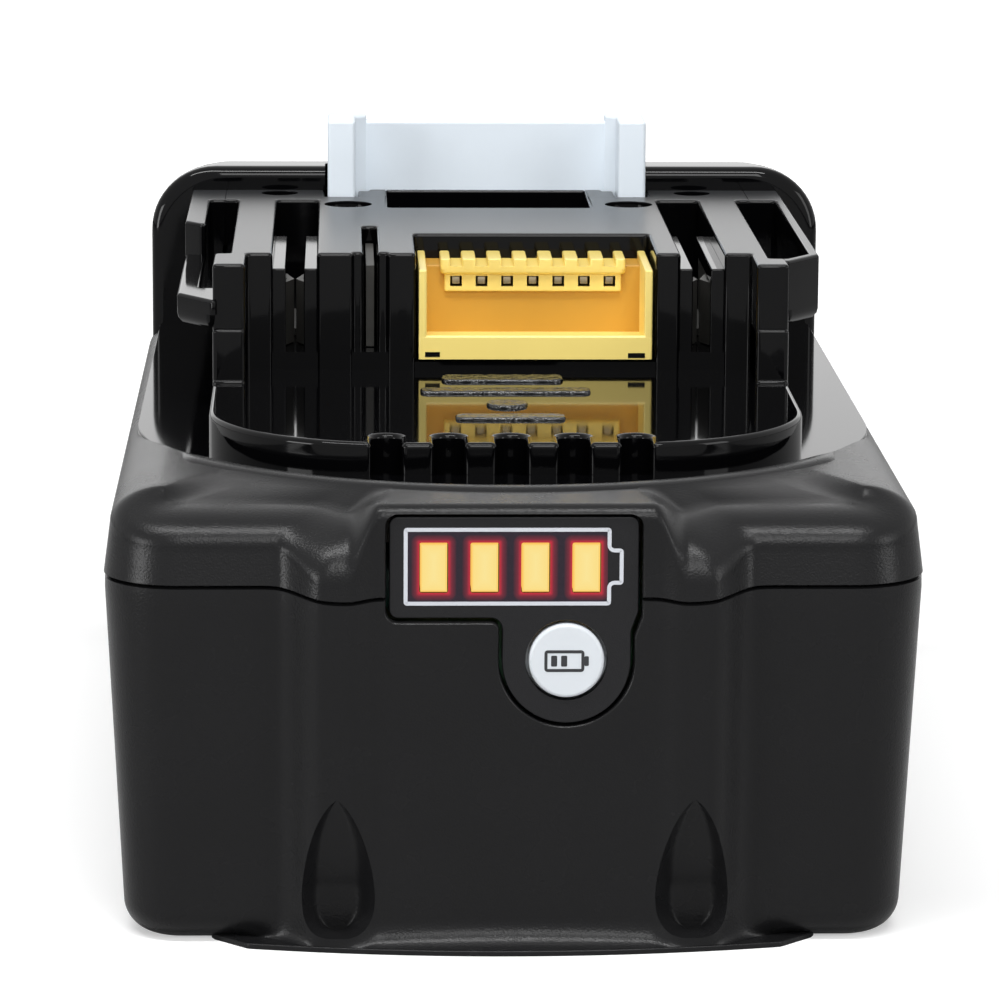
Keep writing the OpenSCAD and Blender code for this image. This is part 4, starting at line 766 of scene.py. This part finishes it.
gloss_block = smooth(assemble("upper_case_deck", skins, block_gloss_painted_top))
settle(gloss_block, "case", "case_gloss", "upper_case")

END_HALF, END_TOP, END_LOW, END_CORNER, END_REAR = 36.4, 58.5, 38.7, 7.0, 55.95
END_EDGE, END_PLAN, FACE_EDGE = 2.2, 6.05, 1.2
THUMB_GAP_X, THUMB_GAP_Y, THUMB_FLOOR, STEM_GAP = 14.3, 53.3, 41.5, 3.7


def end_profile(inset, drop, y, count=14):
    """Upright outline of the raised end at one place along the pack."""
    half, top = END_HALF - inset, END_TOP - drop
    turned = [(half - END_CORNER + END_CORNER * math.cos(a), top - END_CORNER + END_CORNER * math.sin(a))
              for a in np.linspace(0, math.pi / 2, count)]
    right_half = [(half, END_LOW)] + turned
    return np.array([(x, y, z) for x, z in right_half + mirrored(right_half)])


end_rings = []
for a in np.linspace(0, math.pi / 2, 7):
    turned_in = FACE_EDGE * (1 - math.sin(a))
    end_rings.append(end_profile(turned_in, turned_in, END_Y + FACE_EDGE * (1 - math.cos(a))))
for a in np.radians(np.linspace(8, 90, 18)):
    y = END_REAR - END_PLAN + END_PLAN * math.sin(a)
    past = max(0, y - (END_REAR - END_EDGE))
    drop = END_EDGE - math.sqrt(max(0, END_EDGE ** 2 - past ** 2))
    end_rings.append(end_profile(END_PLAN * (1 - math.cos(a)), drop, y))
raised_end = assemble("upper_case_end", [loft(end_rings)], case_gloss)
above = END_TOP + 1
gaps = [block(-WELL_X, END_Y - 1, WELL_X, WELL_BACK, WELL_FLOOR - 0.1, above, edge=0, corner=0.3),
        block(-THUMB_GAP_X, THUMB_GAP_Y, THUMB_GAP_X, REAR + 2, THUMB_FLOOR, above, edge=0, corner=0.3)]
cut(raised_end, assemble("well_cutter", gaps, case_gloss))
stem_gap = block(-STEM_GAP, WELL_BACK - BURIED, STEM_GAP, THUMB_GAP_Y + BURIED, DECK + 2, above,
                 edge=0, corner=0.05)
cut(raised_end, assemble("stem_cutter", [stem_gap], case_gloss))
smooth(raised_end)
settle(raised_end, "case", "case_gloss")

# Platform marks: three plain bars and a low boss that the tool leaves a little raised and rough.
# They are part of the upper moulding; they carry no words.
mark_satin = surface("mark_satin", ink(10, 12, 14), 0.16, grain=0.8, relief=0.3, mottle=0.5, patch=0.6)
MARK_HEIGHT, MARK_LOW, MARK_EDGE = 0.3, 0.1, 0.22
marks = [block(x0, y0, x1, y1, PLATFORM - MARK_LOW, PLATFORM + MARK_HEIGHT, edge=MARK_EDGE, corner=0.8)
         for x0, x1, y0, y1 in ((-5.85, 6.2, -6.6, -3.3), (-8.05, 8.6, -13.3, -10.8), (-4.95, 5.5, -27.9, -25.4))]
marks.append(slab(circle(0.2, -19.5, 2.0), PLATFORM - MARK_LOW, PLATFORM + MARK_HEIGHT, edge=MARK_EDGE))
platform_marks = smooth(assemble("platform_marks", marks, mark_satin))
settle(platform_marks, "case", "case_gloss")

# Power contacts and signal blade: stamped spring copper, tinned, soldered upright on the board.
# They stand in the slots with their leaves a little apart.
tinned_copper = surface("tinned_copper", ink(66, 65, 62), 0.5, grain=0.5, relief=0.02, mottle=0.35, patch=1.2,
                        Metallic=0.4)
dress(["positive_terminal", "negative_terminal", "signal_blade"], tinned_copper)

# Signal socket: yellow moulding that clips into the block, with a comb above seven contact windows.
# It is open at the front over a low sill, and its walls are thin.
socket_yellow = surface("socket_yellow", ink(246, 222, 128), 0.34, grain=0.5, relief=0.006, mottle=0.04)
# The yellow comes in a pale copy and a darker copy. The darker one, on the back wall behind the comb, is painted
# shade in that recess.
socket_yellow_painted_shade = surface("socket_yellow_painted_shade", ink(198, 150, 58), 0.4, grain=0.5, relief=0.006, mottle=0.04)
S_X0, S_X1, S_Y0, S_Y1, S_Z0, S_TOP, S_WALL = -8.0, 15.4, 0.7, 14.7, 45.3, 54.3, 0.8
S_MID, MOUTH, FLOOR_T, SILL_T = 3.7, 8.7, 1.4, 2.4
COMB_Z, COMB_HALF, TIER_HALF, TIER_Z = 52.7, 9.4, 9.0, 50.9
PINS, PIN_PITCH, PIN_SLOT, PIN_BACK, PIN_Z0, PIN_Z1 = 7, 2.6, 1.2, 13.4, 51.4, 52.5
TOOTH_Z, INNER = S_TOP - S_WALL, 0.05
# Places and size of two dark boxes in the sill's lower corners, painted shade that stands in for notches there:
SILL_NOTCH_SHADES, NOTCH_SHADE_OUT, NOTCH_SHADE_H = ((-7.37, -5.87, 45.55), (12.97, 14.69, 45.45)), 0.03, 0.5
pin_x = [S_MID + (k - (PINS - 1) / 2) * PIN_PITCH for k in range(PINS)]
tooth_edges = [S_MID - COMB_HALF] + [x + s * PIN_SLOT / 2 for x in pin_x for s in (-1, 1)] + [S_MID + COMB_HALF]
bar = rectangle(S_MID - COMB_HALF, MOUTH + FLUSH, S_MID + COMB_HALF, S_Y1 - 2 * FLUSH)
tier = rectangle(S_MID - TIER_HALF, MOUTH + S_WALL / 2, S_MID + TIER_HALF, MOUTH + 2 * S_WALL)
back = rectangle(S_X0 + 0.2, MOUTH + S_WALL, S_X1 - 0.2, S_Y1 - FLUSH)
socket_skins = [block(S_X0 + INNER, S_Y0 + INNER, S_X1 - INNER, S_Y1 - INNER, S_Z0 + FLUSH, S_Z0 + FLOOR_T,
                      edge=INNER),
                block(S_X0, S_Y0, S_X1, S_Y0 + S_WALL, S_Z0, S_Z0 + SILL_T, edge=0.25, corner=0.2),
                slab(bar, COMB_Z, TOOTH_Z + FLUSH, edge=0, corner=0.5, foot=0.3)]
socket_skins += [block(x, S_Y0 + FLUSH, x + S_WALL, S_Y1, S_Z0 + FLUSH, S_TOP, edge=0.15, corner=0.2)
                 for x in (S_X0, S_X1 - S_WALL)]
socket_skins += [block(x0, MOUTH, x1, S_Y1 - 3 * FLUSH, TOOTH_Z - 0.3, S_TOP, edge=0.15, corner=0.25)
                 for x0, x1 in zip(tooth_edges[::2], tooth_edges[1::2])]
# Two small dark boxes set into the sill's lower corners are painted shade. They stand in for the shaded notches
# there.
sill_notch_shades = [block(x0, S_Y0 - NOTCH_SHADE_OUT, x1, S_Y0 + S_WALL, z0, z0 + NOTCH_SHADE_H, edge=0, corner=0.05)
         for x0, x1, z0 in SILL_NOTCH_SHADES]
settle(smooth(assemble("sill_notch_painted_shades", sill_notch_shades, case_gloss)), "case", "case_gloss")
# The back wall takes the darker yellow as painted shade.
socket_back = assemble("signal_socket_back", [slab(back, S_Z0 + 2 * FLUSH, TOOTH_Z, edge=0.1)], socket_yellow_painted_shade)
tier_skin = slab(tier, TIER_Z, COMB_Z + 0.1, edge=0, corner=0.2, foot=0.15)
socket_tier = assemble("signal_socket_tier", [tier_skin], socket_yellow)


def pin_windows():
    windows = [block(x - PIN_SLOT / 2, MOUTH - 0.5, x + PIN_SLOT / 2, PIN_BACK, PIN_Z0, PIN_Z1,
                     edge=0, corner=0.05) for x in pin_x]
    return assemble("window_cutter", windows, socket_yellow)


for part in (socket_back, socket_tier):
    cut(part, pin_windows())
    smooth(part)
    settle(part, "case", "socket_yellow")
socket = smooth(assemble("signal_socket_moulding", socket_skins, socket_yellow))
settle(socket, "case", "socket_yellow", "signal_socket")

# Signal pins: seven contacts of plated strip, bent down at the back to the board.
# They are pressed into the socket from behind, one in each window.
pin_plate = surface("pin_plate", ink(186, 172, 142), 0.3, grain=0.2, relief=0.003, Metallic=1.0)
PIN_W, PIN_FRONT, PIN_REAR, PIN_LOW, PIN_HIGH, PIN_TAIL, TAIL_T = 1.0, 9.8, 13.2, 51.5, 52.4, 42.1, 0.9


def node_tree(name, **inputs):
    """Empty geometry tree with named inputs; gives the tree, its input and output nodes and the sockets' names."""
    tree = bpy.data.node_groups.new(name, "GeometryNodeTree")
    tree.interface.new_socket("Geometry", in_out="INPUT", socket_type="NodeSocketGeometry")
    sockets = {label: tree.interface.new_socket(label, in_out="INPUT", socket_type="NodeSocket" + kind).identifier
               for label, kind in inputs.items()}
    tree.interface.new_socket("Geometry", in_out="OUTPUT", socket_type="NodeSocketGeometry")
    return tree, tree.nodes.new("NodeGroupInput").outputs, tree.nodes.new("NodeGroupOutput").inputs, sockets


def finish_tree(tree, given, shown, geometry):
    """Ends a tree in real geometry with its finish."""
    realize = tree.nodes.new("GeometryNodeRealizeInstances")
    finish = tree.nodes.new("GeometryNodeSetMaterial")
    tree.links.new(geometry, realize.inputs["Geometry"])
    tree.links.new(realize.outputs[0], finish.inputs["Geometry"])
    tree.links.new(given["Finish"], finish.inputs["Material"])
    tree.links.new(finish.outputs[0], shown["Geometry"])


def run_tree(piece, tree, sockets, values):
    """Puts a tree on an object, sets its inputs and keeps the result as a plain mesh."""
    modifier = piece.modifiers.new(tree.name, "NODES")
    modifier.node_group = tree
    for label, value in values.items():
        modifier[sockets[label]] = value
    return keep(piece)


row_tree, given, shown, row_sockets = node_tree("row", Count="Int", Step="Vector", Finish="Material")
line = row_tree.nodes.new("GeometryNodeMeshLine")
on_points = row_tree.nodes.new("GeometryNodeInstanceOnPoints")
for source, target in ((given["Count"], line.inputs["Count"]), (given["Step"], line.inputs["Offset"]),
                       (line.outputs["Mesh"], on_points.inputs["Points"]),
                       (given["Geometry"], on_points.inputs["Instance"])):
    row_tree.links.new(source, target)
finish_tree(row_tree, given, shown, on_points.outputs["Instances"])


def in_row(piece, count, step, material):
    """Repeats a piece along a straight line; the step is in mm."""
    return run_tree(piece, row_tree, row_sockets,
                    {"Count": count, "Step": tuple(float(c) * MM for c in step), "Finish": material})


pin_x0, pin_x1 = pin_x[0] - PIN_W / 2, pin_x[0] + PIN_W / 2
one_pin = [block(pin_x0, PIN_FRONT, pin_x1, PIN_REAR, PIN_LOW, PIN_HIGH, edge=0.12, corner=0.15, foot=0.12),
           block(pin_x0 + FLUSH, PIN_REAR - TAIL_T, pin_x1 - FLUSH, PIN_REAR - FLUSH, PIN_TAIL, PIN_LOW + 0.3,
                 edge=0, corner=0.1)]
pins = in_row(assemble("signal_pin_row", one_pin, pin_plate), PINS, (PIN_PITCH, 0, 0), pin_plate)
smooth(pins)
settle(pins, "case", "contact_brass", "signal_pins")

# Gauge panel: a dark printed plate let into the front, with four windows and a round hole for the button.
# The red glow round the windows is painted light: an emission in the print's finish, strongest at the windows and
# fading out, stands in for the lamps' light thrown into the print.
PANEL_FRONT, PANEL_BACK = 55.3, 54.0
LAMPS, LAMP_PITCH, LAMP_X, LAMP_Z, LAMP_W, LAMP_H = 4, 4.57, -7.505, 35.75, 2.6, 4.6
CHECK_X, CHECK_Z, CHECK_HOLE = 4.45, 27.25, 3.7
SCREEN = (-9.9, 32.6, 8.1, 39.1)
SCREEN_UP, SCREEN_LOW, GLOW_REACH = 0.02, 0.15, 0.75
panel_grey, screen_print_painted_glow = (surface(name, colour, 0.42, grain=0.12, relief=relief, mottle=0.3, patch=0.35,
                                    Specular_IOR_Level=0.25)
                            for name, colour, relief in (("panel_grey", ink(20, 20, 22), 0.02),
                                                         ("screen_print_painted_glow", ink(34, 25, 36), 0.015)))
window_painted_glow, nodes, links, shader = new_material("window_painted_glow")
shader.inputs["Base Color"].default_value = ink(24, 16, 10)
shader.inputs["Roughness"].default_value = 0.3
shader.inputs["Specular IOR Level"].default_value = 0.2


def feed(tree, socket, value):
    """Sets a socket to a number, or links it to another socket."""
    if isinstance(value, (int, float)):
        socket.default_value = value
    else:
        tree.links.new(value, socket)


def arithmetic(tree):
    """Function that adds one step of arithmetic to a tree and gives its result."""
    def step(operation, *values):
        node = tree.nodes.new("ShaderNodeMath")
        node.operation = operation
        for socket, value in zip(node.inputs, values):
            feed(tree, socket, value)
        return node.outputs[0]

    return step


def from_lamp(tree):
    """Distance from the edge of the nearest window in mm, below 0 inside it."""
    step = arithmetic(tree)
    parts = tree.nodes.new("ShaderNodeSeparateXYZ")
    tree.links.new(tree.nodes.new("ShaderNodeTexCoord").outputs["Object"], parts.inputs[0])
    along = step("SUBTRACT", step("DIVIDE", parts.outputs["X"], MM), LAMP_X)
    number = step("MINIMUM", step("MAXIMUM", step("ROUND", step("DIVIDE", along, LAMP_PITCH)), 0), LAMPS - 1)
    off_x = step("SUBTRACT", along, step("MULTIPLY", number, LAMP_PITCH))
    off_z = step("SUBTRACT", step("DIVIDE", parts.outputs["Z"], MM), LAMP_Z)
    beside = step("SUBTRACT", step("ABSOLUTE", off_x), LAMP_W / 2)
    up = step("SUBTRACT", step("ABSOLUTE", off_z), LAMP_H / 2)
    out_x, out_z = step("MAXIMUM", beside, 0), step("MAXIMUM", up, 0)
    outside = step("SQRT", step("ADD", step("MULTIPLY", out_x, out_x), step("MULTIPLY", out_z, out_z)))
    return step("ADD", outside, step("MINIMUM", step("MAXIMUM", beside, up), 0))


def ramp(tree, value, stops):
    """Colours along a value, as pairs of value and colour."""
    low, high = stops[0][0], stops[-1][0]
    spread = tree.nodes.new("ShaderNodeMapRange")
    spread.inputs["From Min"].default_value, spread.inputs["From Max"].default_value = low, high
    tree.links.new(value, spread.inputs["Value"])
    colours = tree.nodes.new("ShaderNodeValToRGB")
    for place, colour in stops[1:-1]:
        colours.color_ramp.elements.new((place - low) / (high - low)).color = colour
    colours.color_ramp.elements[0].color = stops[0][1]
    colours.color_ramp.elements[-1].color = stops[-1][1]
    tree.links.new(spread.outputs[0], colours.inputs["Fac"])
    return colours.outputs["Color"]


# Painted glow in the print: red round each window, fading out.
halo = [(0, ink(206, 24, 40)), (GLOW_REACH * 0.4, ink(112, 12, 26)), (GLOW_REACH, ink(0, 0, 0))]
# Painted glow in the windows: yellow-white in the middle, orange to red at their edges.
lamp_glow = [(-1.3, ink(248, 226, 148)), (-0.3, ink(249, 220, 132)), (-0.1, ink(250, 196, 92)),
             (0, ink(222, 76, 46))]
for material, stops, bright in ((screen_print_painted_glow, halo, 0.9), (window_painted_glow, lamp_glow, 1.0)):
    tree = material.node_tree
    shader = tree.nodes["Principled BSDF"]
    tree.links.new(ramp(tree, from_lamp(tree), stops), shader.inputs["Emission Color"])
    shader.inputs["Emission Strength"].default_value = bright


def stand_up(skin, way=-1):
    """Turns a skin drawn in x and z upright, with its height towards the front, or the rear if way is 1."""
    points, faces = skin
    return np.stack([points[:, 0], way * points[:, 2], points[:, 1]], 1), faces


def lamp_openings():
    window = block(LAMP_X - LAMP_W / 2, LAMP_Z - LAMP_H / 2, LAMP_X + LAMP_W / 2, LAMP_Z + LAMP_H / 2,
                   PANEL_BACK - 1, PANEL_FRONT + 1, edge=0, corner=0.2)
    one = assemble("lamp_opening", [stand_up(window)], panel_grey)
    return in_row(one, LAMPS, (LAMP_PITCH, 0, 0), panel_grey)


panel_plate = slab(panel_outline(0), PANEL_BACK, PANEL_FRONT, edge=0.15, corner=0.4)
panel = assemble("gauge_panel_plate", [stand_up(panel_plate)], panel_grey)
button_hole = slab(circle(CHECK_X, CHECK_Z, CHECK_HOLE, 64), PANEL_BACK - 1, PANEL_FRONT + 1, edge=0)
cut(panel, assemble("button_cutter", [stand_up(button_hole)], panel_grey))
screen_plate = block(*SCREEN, PANEL_FRONT - SCREEN_LOW, PANEL_FRONT + SCREEN_UP, edge=0, corner=0.4)
screen = assemble("gauge_screen", [stand_up(screen_plate)], screen_print_painted_glow)
for part in (panel, screen):
    cut(part, lamp_openings())
    smooth(part)
settle(panel, "case", "panel_grey", "gauge_panel")
settle(screen, "case", "panel_grey")

# Light windows: clear bars that carry the lamps' light to the front. Their glow is painted light, an emission in
# their finish that stands in for the lamps behind.
# They are one moulding, pressed into the back of the panel.
dress(["gauge_windows"], window_painted_glow)

# Gauge print: a plain pale battery sign round the windows.
# It is a raised ink line on the panel.
print_grey = surface("print_grey", ink(196, 199, 206), 0.5, grain=0.3, relief=0.002)
SIGN = (-10.2, 32.3, 8.4, 39.4)
NUB_X, NUB_LOW, NUB_HIGH, LINE, PRINT_UP = 9.5, 34.2, 37.5, 0.35, 0.04


def line_round(outline, corner, width, low, high):
    """Flat line that follows the inside of an outline."""
    places, outward, limits = rounded(outline, corner, 4)
    return loft([np.column_stack([places - outward * inset, np.full(len(places), height)])
                 for inset, height in ((0, low), (0, high), (width, high), (width, low))], caps=False)


sign_outline = [(SIGN[0], SIGN[1]), (SIGN[2], SIGN[1]), (SIGN[2], NUB_LOW), (NUB_X, NUB_LOW), (NUB_X, NUB_HIGH),
                (SIGN[2], NUB_HIGH), (SIGN[2], SIGN[3]), (SIGN[0], SIGN[3])]
sign_line = line_round(sign_outline, 0.3, LINE, PANEL_FRONT - SCREEN_LOW, PANEL_FRONT + PRINT_UP)
gauge_print = assemble("gauge_print", [stand_up(sign_line)], print_grey)
settle(gauge_print, "case", "panel_grey")

# Check button: white moulding that stands a little out of the panel, held by a collar behind it.
# A plain battery sign is printed on it.
button_white = surface("button_white", ink(206, 211, 216), 0.35, grain=0.4, relief=0.004, mottle=0.03)
sign_ink = surface("sign_ink", ink(34, 35, 38), 0.5, grain=0.3, relief=0.002)
CHECK_R, CHECK_FRONT, CHECK_BACK, COLLAR_R, COLLAR_FRONT = 3.4, 55.65, 53.2, 4.1, 53.7
cap = slab(circle(CHECK_X, CHECK_Z, CHECK_R, 64), CHECK_BACK, CHECK_FRONT, edge=0.35)
collar = slab(circle(CHECK_X, CHECK_Z, COLLAR_R, 64), CHECK_BACK + FLUSH, COLLAR_FRONT, edge=0.08)
check_button = smooth(assemble("check_button_cap", [stand_up(cap), stand_up(collar)], button_white))
settle(check_button, "check", "button_white", "check_button")
INK_LOW, INK_HIGH = CHECK_FRONT - 0.02, CHECK_FRONT + 0.02
BODY_LEFT, BODY_RIGHT, BODY_HALF, BODY_LINE = 2.0, 1.6, 1.0, 0.28
TIP_HALF, TIP_OUT, BAR_W, BAR_HALF, BARS = 0.45, 0.4, 0.55, 0.5, (-1.4, -0.5)
sign_body = rectangle(CHECK_X - BODY_LEFT, CHECK_Z - BODY_HALF, CHECK_X + BODY_RIGHT, CHECK_Z + BODY_HALF)
sign = [line_round(sign_body, 0.3, BODY_LINE, INK_LOW, INK_HIGH)]
filled = [(BODY_RIGHT, TIP_OUT, TIP_HALF)] + [(x, BAR_W, BAR_HALF) for x in BARS]
sign += [block(CHECK_X + x, CHECK_Z - tall, CHECK_X + x + wide, CHECK_Z + tall, INK_LOW, INK_HIGH,
               edge=0, corner=0.1) for x, wide, tall in filled]
button_sign = assemble("check_button_sign", [stand_up(skin) for skin in sign], sign_ink)
settle(button_sign, "check", "button_white")

# Release latch: pale glass-filled nylon, two posts joined by a web, one moulding.
# It slides in the well behind the block and is pushed up by two coil springs.
latch_white = surface("latch_white", ink(226, 235, 243), 0.38, grain=0.5, relief=0.006, mottle=0.03)
LATCH_X, LEG_X, LEG_Y, WEB_Y0, WEB_Y1, LEG_FLANK = 17.2, 14.2, 43.8, 49.7, 51.7, 1.2
LATCH_TOP, WEB_TOP, WEB_LOW, TOE_LOW, TOE_HIGH, TOE_IN = 64.2, 63.5, 48.0, 51.6, 54.1, 11.6
web_x = LATCH_X - 0.2
latch_skins = [block(-web_x, WEB_Y0, web_x, WEB_Y1 - FLUSH, WEB_LOW, WEB_TOP, edge=0.35, corner=0.3)]
leg = [(LEG_X, LEG_Y), (LATCH_X, LEG_Y), (LATCH_X, WEB_Y1), (LEG_X - LEG_FLANK, WEB_Y1),
       (LEG_X - LEG_FLANK, WEB_Y0), (LEG_X, WEB_Y0 - LEG_FLANK)]
toe = rectangle(TOE_IN, LEG_Y + FLUSH, LATCH_X - FLUSH, WEB_Y1 - 3 * FLUSH)
for outline in (leg, mirrored(leg)):
    latch_skins.append(slab(outline, TOE_LOW, LATCH_TOP, edge=0.4, corner=0.4))
for outline in (toe, mirrored(toe)):
    latch_skins.append(slab(outline, TOE_LOW + FLUSH, TOE_HIGH, edge=0.2, corner=0.3))
latch = smooth(assemble("release_latch_moulding", latch_skins, latch_white))
settle(latch, "latch", "latch_white", "release_latch")

# Thumb button: black nylon with three finger grooves, moulded with a stem.
# The stem goes through the wall of the raised end and is pressed into the latch.
THUMB_HALF, THUMB_Y0, THUMB_Y1, THUMB_Z, THUMB_H = 14.0, 53.6, 56.6, 48.8, 9.8
STEM_HALF, STEM_Z, STEM_H = 3.4, 52.07, 3.0
FINGER_GROOVES, FINGER_R, FINGER_HALF = 3, 0.5, 9.33
finger_pitch = THUMB_H / (FINGER_GROOVES + 2)
thumb_skin = block(-THUMB_HALF, THUMB_Z, THUMB_HALF, THUMB_Z + THUMB_H, THUMB_Y0, THUMB_Y1,
                   edge=0.6, corner=0.9, foot=0.15, steps=5)
thumb = assemble("thumb_button_moulding", [stand_up(thumb_skin, way=1)], case_matt)
groove_ring = circle(THUMB_Y1, THUMB_Z + finger_pitch, FINGER_R, 24)
groove = loft([np.array([(x, y, z) for y, z in groove_ring]) for x in (-FINGER_HALF, FINGER_HALF)])
one_groove = assemble("finger_cutter", [groove], case_matt)
cut(thumb, in_row(one_groove, FINGER_GROOVES, (0, 0, finger_pitch), case_matt))
smooth(thumb)
settle(thumb, "latch", "case_matt", "thumb_button")
stem_skin = block(-STEM_HALF, STEM_Z, STEM_HALF, STEM_Z + STEM_H, WEB_Y1 - BURIED, THUMB_Y0 + BURIED,
                  edge=0, corner=0.3)
stem = smooth(assemble("thumb_button_stem", [stand_up(stem_skin, way=1)], case_matt))
settle(stem, "latch", "case_matt")

# Latch springs: wound spring steel wire with the ends laid close.
# They stand in the bays under the latch's toes and shorten as the latch goes down.
spring_steel = surface("spring_steel", ink(180, 183, 186), 0.25, grain=0.2, relief=0.003, Metallic=1.0)
SPRING_X, SPRING_Y, SPRING_LOW, SPRING_HIGH = 14.7, 46.75, 40.75, 51.55
SPRING_R, WIRE_R, SPRING_TURNS, END_TURNS, LATCH_TRAVEL = 2.2, 0.3, 5.0, 0.7, 7.0
spring_tree, given, shown, spring_sockets = node_tree(
    "coil", Radius="Float", Wire="Float", Turns="Float", Height="Float", Ends="Float",
    Place="Vector", Finish="Material")
spring_step = arithmetic(spring_tree)


def rise(start, end, height):
    """Height gained between two shares of the wire's length."""
    node = spring_tree.nodes.new("ShaderNodeMapRange")
    for label, value in (("Value", wire_share), ("From Min", start), ("From Max", end), ("To Max", height)):
        feed(spring_tree, node.inputs[label], value)
    return node.outputs[0]


spiral = spring_tree.nodes.new("GeometryNodeCurveSpiral")
spiral.inputs["Resolution"].default_value = 28
spiral.inputs["Height"].default_value = 0
wire_share = spring_tree.nodes.new("GeometryNodeSplineParameter").outputs["Factor"]
end_share = spring_step("DIVIDE", given["Ends"], given["Turns"])
end_rise = spring_step("MULTIPLY", given["Ends"], spring_step("MULTIPLY", given["Wire"], 2))
free_rise = spring_step("SUBTRACT", given["Height"], spring_step("MULTIPLY", end_rise, 2))
top_share = spring_step("SUBTRACT", 1, end_share)
lift = spring_step("ADD", rise(0, end_share, end_rise), rise(end_share, top_share, free_rise))
lift = spring_step("ADD", lift, rise(top_share, 1, end_rise))
offset = spring_tree.nodes.new("ShaderNodeCombineXYZ")
raised = spring_tree.nodes.new("GeometryNodeSetPosition")
section = spring_tree.nodes.new("GeometryNodeCurvePrimitiveCircle")
section.inputs["Resolution"].default_value = 10
tube = spring_tree.nodes.new("GeometryNodeCurveToMesh")
tube.inputs["Fill Caps"].default_value = True
placed = spring_tree.nodes.new("GeometryNodeTransform")
for source, target in ((given["Turns"], spiral.inputs["Rotations"]),
                       (given["Radius"], spiral.inputs["Start Radius"]),
                       (given["Radius"], spiral.inputs["End Radius"]),
                       (spiral.outputs[0], raised.inputs["Geometry"]),
                       (lift, offset.inputs["Z"]), (offset.outputs[0], raised.inputs["Offset"]),
                       (raised.outputs[0], tube.inputs["Curve"]), (given["Wire"], section.inputs["Radius"]),
                       (section.outputs["Curve"], tube.inputs["Profile Curve"]),
                       (tube.outputs[0], placed.inputs["Geometry"]),
                       (given["Place"], placed.inputs["Translation"])):
    spring_tree.links.new(source, target)
finish_tree(spring_tree, given, shown, placed.outputs[0])
for s, side in zip((-1, 1), sides):
    spring = show(bpy.data.objects.new(f"latch_coil_{side}", bpy.data.meshes.new(f"latch_coil_{side}")))
    run_tree(spring, spring_tree, spring_sockets,
             {"Radius": SPRING_R * MM, "Wire": WIRE_R * MM, "Turns": SPRING_TURNS, "Ends": END_TURNS,
              "Height": (SPRING_HIGH - SPRING_LOW - 2 * WIRE_R) * MM,
              "Place": (s * SPRING_X * MM, SPRING_Y * MM, (SPRING_LOW + WIRE_R) * MM), "Finish": spring_steel})
    spring.data.shade_smooth()
    settle(spring, "case", "screw_steel", f"latch_spring_{side}")
    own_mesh(spring)
